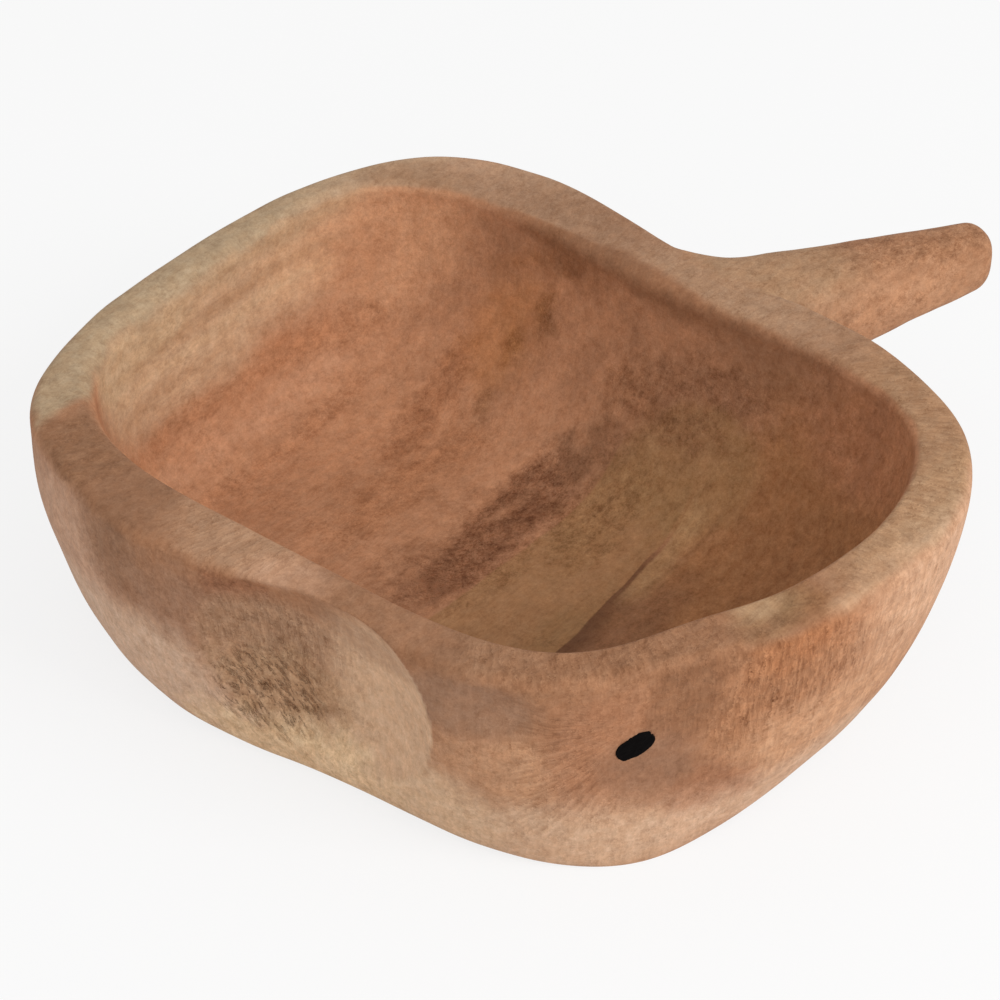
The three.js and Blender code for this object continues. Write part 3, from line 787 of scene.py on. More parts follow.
# The stains that show on the bowl, the same wood carried on round the sides that don't, and painted shade and
# light: under the rim's inner edge, on the flat cut, along the foot and on the stem
WOOD_AND_PAINTED_LIGHT_PATCHES = (
    # Pale sapwood under the left rim and in the far corner, with thin brown lines along it
    Patch(INSIDE, (5, 131, 66), (100, 15, 27), (200, 165, 132), 0.85, 0.8, 2, waver=0.6),
    Patch(INSIDE, (-30, 126, 72), (50, 10, 10), (196, 168, 133), 0.6, 0.8),
    Patch(INSIDE, (98, 114, 66), (36, 28, 26), (202, 150, 113), 0.75, 0.9),
    Patch(INSIDE, (87, 124, 54), (24, 14, 9), (180, 128, 93), 0.65, 1.0),
    Patch(INSIDE, (62, 128, 62), (18, 12, 12), (212, 168, 130), 0.5, 1.0),
    Patch(INSIDE, (30, 131, 64), (60, 9, 2.6), (172, 132, 98), 0.55, 1.0, 2, waver=0.4),
    Patch(INSIDE, (-8, 124, 50), (40, 9, 2.6), (176, 134, 100), 0.5, 1.0, waver=0.4),
    Patch(INSIDE, (10, 130, 57), (70, 9, 2.2), (204, 170, 134), 0.4, 1.0, 1, waver=0.4),
    # Brown and pale streaks down the left wall to the floor
    Patch(INSIDE, (20, 122, 36), (70, 9, 4), (170, 114, 78), 0.45, 0.9, 0, 0.3, 0.4, waver=0.6),
    Patch(INSIDE, (72, 112, 36), (46, 9, 7), (168, 113, 77), 0.4, 0.9, 0, 0.3, 0.5, waver=0.6),
    Patch(INSIDE, (30, 112, 24), (95, 6, 5), (190, 140, 107), 0.6, 0.9, waver=0.6),
    Patch(INSIDE, (50, 101, 18), (90, 4, 6), (168, 113, 78), 0.35, 0.9, 0, 0.4, 0.6, waver=0.6),
    Patch(INSIDE, (60, 90, 20), (80, 4, 8), (184, 134, 100), 0.35, 0.9, waver=0.6),
    Patch(INSIDE, (80, 74, 22), (60, 6, 12), (154, 102, 69), 0.66, 0.9, 0, 0.5, 0.8, waver=0.7),
    Patch(INSIDE, (42, 56, 14), (46, 12, 9), (160, 108, 74), 0.6, 0.9, 0, 0.4, 0.7, waver=0.7),
    Patch(INSIDE, (30, 38, 13), (60, 5, 9), (184, 132, 98), 0.4, 0.9, waver=0.7),
    # Short dark streaks on the far wall
    Patch(INSIDE, (105, 46, 50), (13, 5, 7), (128, 86, 54), 0.7, 1.1, 0, 0.5, 1.0),
    Patch(INSIDE, (98, 55, 36), (13, 4, 5), (132, 92, 58), 0.6, 1.1, 0, 0.5, 1.0),
    Patch(INSIDE, (84, 58, 23), (12, 4, 5), (134, 92, 60), 0.55, 1.1, 0, 0.5, 1.0),
    Patch(INSIDE, (118, 42, 72), (14, 16, 12), (132, 88, 58), 0.7, 1.0, 0, 0.3, 0.5),
    # The dark speckled stain across the floor
    Patch(INSIDE, (66, 9, 16), (24, 12, 10), (110, 72, 50), 0.5, 1.4, 0, 0.6, 1.5),
    Patch(INSIDE, (22, 15, 13), (45, 14, 8), (126, 83, 57), 0.72, 1.2, 0, 0.5, 1.4),
    # The brown right wall, pinker under the rim, with soft upright streaks
    Patch(INSIDE, (60, -85, 30), (85, 50, 50), (160, 111, 71), 0.85, 0.5, 0, 0.15, 0.5),
    Patch(INSIDE, (100, -96, 61), (20, 34, 17), (180, 125, 90), 0.8, 1.0, 0, 0, None, 0.4, 0.7),
    Patch(INSIDE, (107, -70, 62), (12, 7, 22), (142, 97, 70), 0.3, 1.2, 0, 0.3, 0.4, 0.8),
    Patch(INSIDE, (101, -92, 62), (12, 6, 24), (148, 100, 71), 0.45, 1.2, 0, 0.3, 0.4, 0.8),
    Patch(INSIDE, (12, -53, 13), (38, 12, 7), (132, 92, 65), 0.7, 1.0),
    # Olive heartwood on the far wall before the stem, the dark stains in it, and painted shade along the
    # rim's inner edge
    Patch(INSIDE, (98, -30, 54), (14, 30, 12), (136, 96, 69), 0.62, 1.2, 0, 0.5, 0.9, 0.4),
    Patch(INSIDE, (88, -30, 30), (32, 25, 19), (158, 119, 80), 0.75, 0.4, 0, 0.1, 0.4, waver=0.5),
    Patch(INSIDE, (66, -12, 15), (28, 11, 9), (140, 98, 63), 0.6, 1.2, 0, 0.5, 1.0),
    Patch(INSIDE, (94, -18, 38), (13, 16, 8), (136, 96, 66), 0.6, 1.0, 0, 0.4, 0.9),
    Patch(INSIDE, (96, 4, 42), (14, 10, 12), (140, 96, 66), 0.55, 1.0, 0, 0.5, 0.9),
    # Painted shade: the dark band just under the rim's inner edge before the stem
    Patch(INSIDE, (118, 2, 80), (20, 62, 6.5), (134, 93, 65), 0.7, 1.0, 0, 0.2),
    # Painted shade just under the rim's inner edge, partly darker wood, pale wood under the left rim, and
    # orange wood and dark spots below
    # Painted shade under the rim's inner edge, at the right end of the dark band
    Patch(INSIDE, (108, -46, 69), (14, 24, 9), (140, 100, 72), 0.6, 1.1),
    Patch(INSIDE, (54, 132, 78), (62, 10, 8), (187, 156, 122), 0.65, 1.0),
    # Painted shade under the rim's inner edge, partly darker wood
    Patch(INSIDE, (120, 34, 82), (12, 22, 5), (140, 100, 73), 0.55, 1.0),
    Patch(INSIDE, (101, 62, 46), (16, 14, 26), (186, 122, 70), 0.42, 1.0, 0, 0.3),
    Patch(INSIDE, (82, 3, 24), (14, 13, 10), (120, 84, 58), 0.5, 1.2, 0, 0.4, 0.7),
    Patch(INSIDE, (12, -36, 13), (20, 9, 6), (118, 86, 56), 0.6, 1.0),
    # The rim's pale sapwood on the left
    Patch(RIM, (40, 150, 82), (420, 42, 30), (176, 151, 121), 0.95, 0.1),
    Patch(RIM, (110, 75, 82), (60, 60, 30), (188, 150, 121), 0.8, 0.9),
    # The rim before the stem, greenish tan with brown clouds
    Patch(RIM, (110, 108, 82), (13, 22, 12), (158, 120, 90), 0.75, 1.0, 24),
    Patch(RIM, (130, 5, 82), (28, 80, 30), (172, 136, 107), 0.85, 0.9, 0, 0, 0.3, 0.5),
    Patch(RIM, (138, 30, 82), (12, 22, 8), (160, 118, 90), 0.65, 1.2),
    Patch(RIM, (124, 52, 82), (17, 36, 8), (150, 112, 85), 0.7, 1.0),
    # The rim at the right and in front, tan with pale spots
    Patch(RIM, (61, -147, 81), (24, 8, 8), (210, 178, 146), 0.6, 1.0),
    Patch(RIM, (94, -118, 82), (14, 20, 12), (156, 114, 84), 0.75, 1.0),
    Patch(RIM, (105, -110, 82), (36, 34, 20), (172, 134, 101), 0.7, 0.9, 0, 0, None, 1.1),
    Patch(RIM, (62, -136, 82), (44, 10, 16), (178, 141, 107), 0.75, 0.9, 0, 0, 0.3, 1.0),
    Patch(RIM, (0, -133, 82), (13, 9, 8), (150, 107, 72), 0.75, 0.9, 0, 0.3, 0.3),
    Patch(RIM, (-14, -129, 82), (16, 8, 10), (150, 118, 85), 0.7, 0.9),
    Patch(RIM, (22, -146, 82), (22, 7, 6), (200, 160, 126), 0.75, 1.0),
    Patch(RIM, (-10, -122, 82), (9, 7, 6), (192, 156, 120), 0.7, 1.0),
    # The rim at the blossom end
    Patch(RIM, (-84, 22, 82), (18, 24, 16), (177, 138, 108), 0.75, 0.9, 0, 0, 0.3, 0.9),
    Patch(RIM, (-84, 92, 82), (22, 17, 12), (140, 101, 73), 0.7, 0.7, 0, 0.3, 0.4, 0.7),
    Patch(RIM, (-60, -78, 82), (30, 20, 10), (162, 122, 92), 0.5, 0.9, 0, 0, 0.3, 0.9),
    Patch(RIM, (-91, -4, 81), (10, 16, 6), (198, 154, 124), 0.6, 1.0),
    Patch(RIM, (-56, -108, 80), (44, 17, 10), (150, 107, 77), 0.7, 0.9, -36, 0.3, 0.6, 0.9),
    # Brown wood under the rim before the knot
    Patch(OUTSIDE, (-56, -110, 78), (44, 14, 7), (152, 109, 79), 0.7, 0.9, -36, 0.3, 0.4),
    # The wall's left cheek: brown below the rim, and paler low down with painted light bounced up from the
    # floor
    Patch(OUTSIDE, (-92, 92, 52), (26, 28, 28), (193, 154, 128), 0.85, 0.8),
    Patch(OUTSIDE, (-101, 60, 66), (12, 15, 13), (144, 106, 80), 0.8, 0.9, 0, 0.2, 0.4),
    Patch(OUTSIDE, (-100, 36, 58), (14, 22, 18), (156, 117, 92), 0.8, 0.9, 0, 0.2, 0.3),
    Patch(OUTSIDE, (-97, 14, 73), (14, 16, 7), (142, 92, 64), 0.65, 1.0, 0, 0.5, 0.8),
    Patch(OUTSIDE, (-92, 58, 24), (34, 50, 22), (208, 175, 149), 0.9, 0.9),
    Patch(OUTSIDE, (-90, 0, 56), (16, 34, 12), (164, 125, 98), 0.8, 0.9),
    # Pale tones between the scoop and the knot, and painted light bounced up from the floor along the foot
    Patch(OUTSIDE, (-84, -84, 44), (20, 22, 15), (190, 144, 110), 0.8, 0.9, 0, 0, 0.3),
    Patch(OUTSIDE, (-68, -96, 13), (46, 50, 18), (206, 170, 140), 0.85, 0.9),
    Patch(OUTSIDE, (-64, -107, 50), (26, 18, 24), (162, 112, 82), 0.6, 0.9, 0, 0, 0.3),
    Patch(OUTSIDE, (-86, -44, 14), (22, 36, 22), (206, 172, 140), 0.9, 0.8, 0, 0, 0.05),
    Patch(OUTSIDE, (-90, -2, 10), (24, 38, 15), (220, 187, 150), 0.9, 0.9, 0, 0.3, 0.4),
    # The combed wall to the right of the knot
    Patch(OUTSIDE, (-12, -140, 74), (30, 12, 8), (172, 108, 66), 0.8, 1.0, 0, 0.3, 0.4, 1.0),
    Patch(OUTSIDE, (35, -148, 52), (55, 20, 26), (183, 134, 100), 0.7, 0.9, 0, 0, None, 1.2),
    Patch(OUTSIDE, (62, -148, 66), (46, 20, 26), (210, 167, 135), 0.8, 1.0, 0, 0, None, 1.1),
    Patch(OUTSIDE, (-14, -136, 56), (34, 16, 26), (168, 116, 81), 0.65, 0.9, 0, 0, 0.3, 2.5),
    Patch(OUTSIDE, (2, -140, 36), (40, 18, 15), (203, 157, 122), 0.65, 1.0, 0, 0, 0.3, 0.8),
    # Painted light bounced up from the floor, low on the wall
    Patch(OUTSIDE, (20, -135, 12), (110, 34, 13), (204, 168, 140), 0.85, 0.9),
    Patch(OUTSIDE, (-38, -124, 26), (22, 12, 10), (156, 106, 77), 0.65, 1.0, 0, 0.3, 0.4),
    # The stem's root, and the hidden sides: sapwood, and brown bands along the grain
    Patch(OUTSIDE, (142, -22, 74), (34, 30, 26), (172, 137, 106), 0.9, 0.7),
    Patch(OUTSIDE, (40, 160, 62), (420, 38, 56), (180, 150, 119), 0.8, 0.6, waver=1.2),
    Patch(OUTSIDE, (30, 140, 38), (70, 14, 4), (164, 128, 96), 0.5, 1.0, 0, 0.3, 0.4),
    Patch(OUTSIDE, (134, 90, 46), (26, 46, 7), (150, 106, 76), 0.6, 1.0, 0, 0.3, 0.5),
    Patch(OUTSIDE, (120, -84, 40), (26, 44, 8), (180, 132, 98), 0.6, 1.0, 0, 0.3, 0.3),
    # The flat cut with painted shade on it, the scoop, and the pale tones below it
    Patch(OUTSIDE, (-86, -36, 72), (12, 17, 8), (140, 100, 74), 0.65, 1.0, 0, 0.3),
    # Painted shade on the flat cut, where the steep cut faces away from the light
    Patch(OUTSIDE, (-87, -72, 67), (23, 21, 12), (154, 117, 92), 0.8, 0.5, 0, 0, 0.1, waver=0.25),
    Patch(SCOOP, (-86, -46, 44), (22, 29, 42), (208, 171, 139), 0.95, 0.7, 0, 0, 0, 0.35),
    Patch(SCOOP, (-91, 4, 56), (18, 28, 15), (168, 130, 101), 0.85, 0.9, 0, 0.1, 0.4, 1.7),
    # Painted light bounced up from the floor, low in the scoop
    Patch(SCOOP, (-90, -2, 12), (24, 34, 14), (222, 190, 152), 0.9, 0.9, 0, 0.3, 0.4),
    Patch(SCOOP, (-89, 2, 34), (18, 27, 12), (176, 140, 108), 0.75, 1.0, 0, 0.4, 0.7),
    Patch(SCOOP, (-85, -38, 70), (12, 16, 7), (152, 114, 88), 0.45, 1.2, 0, 0.2),
    # The stem, with painted shade darker along its top and painted light paler down its right side
    Patch(OUTSIDE, (190, -52, 84), (60, 15, 12), (166, 120, 88), 0.8, 0.8, -31, 0.5, 1.0),
    # Painted light on the stem's right side, which faces the lamp
    Patch(OUTSIDE, (172, -66, 60), (50, 12, 22), (186, 138, 104), 0.85, 0.9, -31, 0, 0.4),
    Patch(OUTSIDE, (152, -26, 80), (22, 16, 12), (171, 133, 101), 0.85, 0.8, -31, 0, 0.4),
    # Darker wood beside the knot, and wood pressed smooth below it
    Patch(OUTSIDE, (-46, -120, 68), (13, 12, 17), (136, 94, 66), 0.8, 0.9, 0, 0, 0.2, 1.1),
    Patch(OUTSIDE, (-53, -115, 41), (16, 12, 12), (142, 104, 80), 0.75, 0.9, 0, 0, 0.1),
)


@dataclass
class WoodTones:
    """The slow changes of tone through the block, worked out on the mesh's own points: heartwood,
    sapwood, stains, edges lightened partly by wear and partly by a painted highlight, painted shade
    and painted light, and where specks and tool marks show. Lengths are the sizes of the noise's cells,
    along the grain first, or how far it moves a point. A worn place is a place along the body's section,
    and how strongly the edge there is lightened, partly for wear and partly as a painted highlight."""

    bases: tuple[tuple[Zone, tuple[int, int, int]], ...] = (
        (OUTSIDE, (165, 118, 86)),
        (RIM, (160, 116, 86)),
        (INSIDE, (177, 127, 94)),
    )
    strokes: tuple[tuple[Zone, float], ...] = ((OUTSIDE, 0.45), (RIM, 0.3), (INSIDE, 0.15))
    flecks: float = 0.15
    wander_cells: tuple[float, float] = (26, 7)
    wander_broad: tuple[float, float, float] = (8, 4, 4)
    wander_small: float = 1.3
    cloud_cells: tuple[tuple[float, float, float], ...] = ((13, 5, 5), (5, 2.5, 2.5))
    streak_cells: tuple[tuple[float, float, float], ...] = ((150, 15, 17), (60, 5, 6))
    streak: float = 0.22
    # Rounded edges lightened: partly wear, partly a painted highlight
    worn: float = 0.045
    wear_and_highlight_places: tuple[tuple[float, float], ...] = ((4.45, 1.0), (2.6, 0.5))
    wear_and_highlight_width: float = 0.3
    combed: Patch = Patch(OUTSIDE, (-76, -96, 42), (20, 19, 27), (0, 0, 0), soft=0.6)

    def wander(self, p: np.ndarray) -> np.ndarray:
        """Moves points about by smooth noise in two sizes, so that the edges drawn there waver."""
        broad, small = self.wander_cells
        shifts = [
            Unevenness(41 + i).at(p, broad) * far + Unevenness(51 + i).at(p, small) * self.wander_small
            for i, far in enumerate(self.wander_broad)
        ]
        return p + np.stack(shifts, -1)

    def two_sizes(
        self, p: np.ndarray, seed: int, cells: tuple[tuple[float, float, float], ...]
    ) -> np.ndarray:
        """Noise of two sizes at each point, six parts of the first and four of the second."""
        return 0.6 * Unevenness(seed).at(p, cells[0]) + 0.4 * Unevenness(seed + 1).at(p, cells[1])

    def lay(
        self, p: np.ndarray, v: np.ndarray, shares: dict[Zone, np.ndarray]
    ) -> tuple[np.ndarray, np.ndarray]:
        """Lays the patches over the base tones, one after another.

        Args:
            p: points in millimetres.
            v: their places along the body's section.
            shares: how far each point belongs to each zone.

        Returns:
            The tones with an alpha of 1, and three marks for each point: specks, tool marks and combing.
        """
        moved = self.wander(p)
        cloud = self.two_sizes(p, 61, self.cloud_cells)
        colour = sum(shares[zone][:, None] * np.array(tone(*own))[:3] for zone, own in self.bases)
        colour = colour * (1 + self.streak * self.two_sizes(moved, 63, self.streak_cells))[:, None]
        marks = np.zeros_like(p)
        marks[:, 0] = self.flecks
        marks[:, 1] = sum(strength * shares[zone] for zone, strength in self.strokes)
        for patch in WOOD_AND_PAINTED_LIGHT_PATCHES:
            shown = patch.spread(p + (moved - p) * patch.waver, cloud) * shares[patch.zone]
            part = (shown * patch.share)[:, None]
            colour = colour * (1 - part) + np.array(tone(*patch.colour))[:3] * part
            for i, strength in enumerate((patch.flecks, patch.strokes)):
                if strength is not None:
                    marks[:, i] += (strength - marks[:, i]) * shown
        marks[:, 2] = self.combed.spread(moved, cloud) * shares[OUTSIDE]
        # Paler along the rounded edges: partly wear, partly a painted highlight
        edge = sum(more * np.exp(-(((v - place) / self.wear_and_highlight_width) ** 2)) for place, more in self.wear_and_highlight_places)
        colour = colour * (1 + self.worn * edge)[:, None]
        return np.concatenate([colour, np.ones((len(p), 1))], -1), marks

    def store(
        self, piece: bpy.types.Object, colour: np.ndarray, marks: np.ndarray, floor: np.ndarray
    ) -> None:
        """Keeps the tones and marks on the piece's points.

        Args:
            piece: the piece.
            colour: its tones.
            marks: its specks, tool marks and combing.
            floor: how much of the floor's bands shows.
        """
        for name, kind, key, values in (
            ("tone", "FLOAT_COLOR", "color", colour),
            ("marks", "FLOAT_VECTOR", "vector", marks),
            ("floor_share", "FLOAT", "value", floor),
        ):
            kept = piece.data.attributes.new(name, kind, "POINT")
            kept.data.foreach_set(key, values.astype(np.float32).ravel())


@dataclass
class CarvedBody:
    """The body as the carver left it: gouged, uneven by a fraction of a millimetre, torn by the tool in
    the scoop, dented for the knot and with the stem's root standing on it. Under the root it is sunk,
    and round the root it meets the root's tucked edge. The borders are bearings and spreads in degrees,
    and how far the inside's tone starts later there along the section. The root's place there is the
    wall's, and rises to the rim's at the top."""

    shape: BowlBody
    root: StemRoot
    knot: Knot
    tones: WoodTones
    uneven_outside: float = 0.55
    uneven_rim: float = 0.35
    uneven_inside: float = 0.45
    swell_cells: tuple[float, float] = (34, 15)
    tear_depth: float = 0.7
    tear_cells: tuple[tuple[float, float, float], ...] = ((6.5, 2.2, 5), (3, 1.5, 3))
    tear_middle: tuple[float, float, float] = (-90, 1, 31)
    tear_radii: tuple[float, float, float] = (18, 27, 24)
    torn_tone: tuple[float, float, float] = (0.14, 0.18, 0.22)
    rough_middle: tuple[float, float, float] = (-90, 6, 31)
    rough_radii: tuple[float, float, float] = (18, 25, 23)
    sunk_under_root: float = 1.6
    sunk_round_root: float = 0.015
    border_waver: float = 0.3
    border_cell: float = 9
    inside_from: float = 4.3
    inside_blend: float = 0.45
    borders: tuple[tuple[float, float, float], ...] = ((12, 24, -0.8), (-52, 18, -0.15), (96, 34, 0.2))
    rim_from: tuple[float, float] = (2.1, 2.8)
    scoop_from: tuple[float, float] = (0.1, 1.1)
    bands_along: tuple[float, float] = (99, 78)
    bands_height: tuple[float, float] = (44, 22)
    root_rim_height: tuple[float, float] = (76, 81)
    root_place: tuple[float, float] = (1.9, 0.95)
    box_gap: float = 0.02

    def normals(self, p: np.ndarray) -> np.ndarray:
        """Outward unit vectors of a grid of points, from the cross product of its two directions."""
        round_ = np.roll(p, -1, 1) - np.roll(p, 1, 1)
        upward = np.gradient(p, axis=0)
        n = np.cross(round_, upward)
        return n / np.maximum(np.linalg.norm(n, axis=-1, keepdims=True), 1e-9)

    def tears(self, p: np.ndarray) -> np.ndarray:
        """Where the tool tore the grain low in the scoop: slanting nicks from two sizes of noise, within
        an oval.

        Args:
            p: points of the carved surface.

        Returns:
            How much of a tear there is at each point, 0 to 1.
        """
        down, across = -(p[..., 1] + p[..., 2]) / np.sqrt(2), (p[..., 1] - p[..., 2]) / np.sqrt(2)
        slanted = np.stack([down, across, p[..., 0]], -1)
        broad, small = self.tear_cells
        nicks = 0.65 * Unevenness(71).at(slanted, broad) + 0.35 * Unevenness(72).at(slanted, small)
        place = (p - np.array(self.tear_middle)) / np.array(self.tear_radii)
        within = smooth_step(np.linalg.norm(place, axis=-1), 1.15, 0.5)
        return smooth_step(nicks, 0.02, 0.34) * within

    def surface(self) -> tuple[np.ndarray, np.ndarray, np.ndarray, np.ndarray]:
        """The body's points as a grid, with each point's place along the section. Steps over v are
        places along the section, and steps over away and apart are in half sizes of the root's foot
        and of the knot.

        Returns:
            The grids of points, of places, of points before they were carved, and of tears.
        """
        v, b = np.meshgrid(self.shape.rows_at(), self.shape.columns_at(), indexing="ij")
        plain = self.shape.section(b, v)
        p = self.shape.carve(plain)
        outside = smooth_step(v, 1.0, 1.3) * smooth_step(v, 3.0, 2.6)
        inside = smooth_step(v, 4.2, 5.2)
        rim = (1 - outside) * (1 - inside) * smooth_step(v, 2, 2.6)
        away, apart = self.root.distance(p, v), self.knot.distance(p)
        clear = smooth_step(away, 1.02, 1.5) * smooth_step(apart, 0.9, 2.2)
        broad, small = self.swell_cells
        swell = 0.65 * Unevenness(5).at(p, broad) + 0.35 * Unevenness(11).at(p, small)
        height = self.uneven_outside * outside * swell + self.uneven_inside * inside * swell
        height += self.uneven_rim * rim * (0.5 * swell - 0.5)
        torn = self.tears(p) * outside
        height = height * clear - self.knot.dent * smooth_step(apart, 0.94, 0.74) - self.tear_depth * torn
        p = p + self.normals(p) * height[..., None]
        sunk = self.sunk_under_root * smooth_step(away, 0.97, 0.82)
        sunk = (sunk + self.sunk_round_root * smooth_step(away, 1.7, 1.05)) * (v > 1) * (v < 4)
        p = p - self.normals(p) * sunk[..., None]
        low, high = (np.array(corner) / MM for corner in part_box("bowl_body"))
        return np.clip(p, low + self.box_gap, high - self.box_gap), v, plain, torn

    def dress(
        self,
        piece: bpy.types.Object,
        points: np.ndarray,
        v: np.ndarray,
        scooped: np.ndarray,
        torn: np.ndarray,
    ) -> None:
        """Lays the wood's tones on the body. The alpha of a tone is 1 less the share of torn grain.

        Args:
            piece: the body.
            points: its points.
            v: their places along the section.
            scooped: how deep the scoop goes at each point.
            torn: how much the tool tore each point.
        """
        waver = self.border_waver * Unevenness(81).at(points, self.border_cell)
        bearing = np.arctan2(points[:, 1], points[:, 0] - self.shape.rim_middle)
        later = sum(more * hill(bearing, middle, spread) for middle, spread, more in self.borders)
        start = self.inside_from + later
        inside = smooth_step(v + 0.5 * waver, start, start + self.inside_blend)
        rim = smooth_step(v + waver, *self.rim_from) * (1 - inside)
        outside = 1 - inside - rim
        shares = {
            OUTSIDE: outside,
            SCOOP: outside * smooth_step(scooped, *self.scoop_from),
            RIM: rim,
            INSIDE: inside,
        }
        colour, marks = self.tones.lay(points, v, shares)
        colour[:, :3] *= 1 - torn[:, None] * np.array(self.torn_tone)
        place = (points - np.array(self.rough_middle)) / np.array(self.rough_radii)
        colour[:, 3] = 1 - smooth_step(np.linalg.norm(place, axis=-1), 1.1, 0.5) * outside
        floor = inside * smooth_step(points[:, 0], *self.bands_along)
        floor = floor * smooth_step(points[:, 2], *self.bands_height)
        self.tones.store(piece, colour, marks, floor)

    def build(self) -> bpy.types.Object:
        """Makes the body and its root in one piece, and lays the wood's tones on it.

        Returns:
            The body.
        """
        grid, v, plain, torn = self.surface()
        body_points, faces = closed_skin(grid, np.array([[0, 0, 0], [0, 0, self.shape.floor_height]]))
        root_points, root_faces = self.root.loft()
        first, sides = len(body_points), self.root.sides
        faces += [[i + first for i in face] for face in root_faces]
        points = np.concatenate([body_points, root_points])
        foot = first + sides + np.arange(sides)
        joint = foot + (self.root.rows - 1) * sides
        piece = make_piece("carved_body", points, faces, "bowl_body", (foot, joint))
        leaving = np.repeat(np.linspace(1, 0, self.root.rows + 1), sides)
        leaving = np.concatenate([leaving, [0, 0]])
        height = smooth_step(root_points[:, 2], *self.root_rim_height)
        wall_place, rise = self.root_place
        root_places = wall_place + rise * height * smooth_step(leaving, 0.1, 0.9)
        places = np.concatenate([v.ravel(), [0, 7], root_places])
        rest = np.zeros(len(root_points) + 2)
        scooped = np.concatenate([self.shape.scoop_depth(plain).ravel(), rest])
        self.dress(piece, points, places, scooped, np.concatenate([torn.ravel(), rest]))
        return piece


@dataclass
class Stem:
    """The stem beyond its joint: a tapered rounded square, shaped by hand, with a rounded tip. Its tones
    are those of a place along the body's section, on the wall."""

    line: StemLine
    start: np.ndarray
    tones: WoodTones
    sides: int = 140
    rows: int = 130
    tip_rows: int = 16
    joint_gap: float = 0.17
    uneven: float = 0.3
    uneven_from: tuple[float, float] = (0.2, 12)
    swell_cells: tuple[float, float] = (19, 8)
    wall_place: float = 1.9

    def build(self) -> bpy.types.Object:
        """Makes the stem: rings along its line, drawn in over the tip along a quarter circle.

        Returns:
            The stem.
        """
        line = self.line
        turn = np.linspace(0, 2 * np.pi, self.sides, endpoint=False)
        tip = np.linspace(0, QUARTER, self.tip_rows + 1)[1:]
        body = np.linspace(self.joint_gap, line.length - line.tip_round, self.rows)
        along = np.concatenate([body, line.length - line.tip_round * (1 - np.sin(tip))])
        inset = np.concatenate([np.zeros(self.rows), line.tip_round * (1 - np.cos(tip))])
        p = line.ring(self.start, along, turn, inset)
        out = p - p.mean(1, keepdims=True)
        out = out / np.linalg.norm(out, axis=-1, keepdims=True)
        broad, small = self.swell_cells
        swell = 0.6 * Unevenness(17).at(p, broad) + 0.4 * Unevenness(23).at(p, small) - 0.6
        rising = smooth_step(along, *self.uneven_from)[:, None]
        points, faces = closed_skin(p + out * (self.uneven * swell * rising)[..., None])
        piece = make_piece("carved_stem", points, faces, "stem", (np.arange(self.sides),))
        none = np.zeros(len(points))
        shares = {zone: none + (zone is OUTSIDE) for zone in Zone}
        self.tones.store(piece, *self.tones.lay(points, none + self.wall_place, shares), none)
        return piece


class Flow:
    """A shader socket that takes part in sums and products. Numbers use Math nodes, vectors and colours
    Vector Math nodes."""

    def __init__(self, finish: "Finish", socket: bpy.types.NodeSocket) -> None:
        """Keeps the finish that the socket belongs to."""
        self.finish = finish
        self.socket = socket

    def _join(self, operation: str, first: object, second: object) -> "Flow":
        """Adds a Math node, or a Vector Math node where this socket carries a vector or colour."""
        if self.socket.type == "VALUE":
            return self.finish.add("ShaderNodeMath", {"operation": operation}, {0: first, 1: second})
        return self.finish.add("ShaderNodeVectorMath", {"operation": operation}, {0: first, 1: second})

    def __add__(self, other: object) -> "Flow":
        """Sum."""
        return self._join("ADD", self, other)

    __radd__ = __add__

    def __sub__(self, other: object) -> "Flow":
        """Difference."""
        return self._join("SUBTRACT", self, other)

    def __rsub__(self, other: object) -> "Flow":
        """Difference from another value."""
        return self._join("SUBTRACT", other, self)

    def __mul__(self, other: object) -> "Flow":
        """Product."""
        return self._join("MULTIPLY", self, other)

    __rmul__ = __mul__

    def scaled(self, factor: "Flow | float") -> "Flow":
        """A vector or colour times one number."""
        return self.finish.add("ShaderNodeVectorMath", {"operation": "SCALE"}, {0: self, "Scale": factor})

    def step(self, low: float, high: float, to_low: float = 0.0, to_high: float = 1.0) -> "Flow":
        """An S-shaped step from one value to another, between two limits."""
        settings = {"interpolation_type": "SMOOTHSTEP"}
        values = {"Value": self, "From Min": low, "From Max": high, "To Min": to_low, "To Max": to_high}
        return self.finish.add("ShaderNodeMapRange", settings, values)


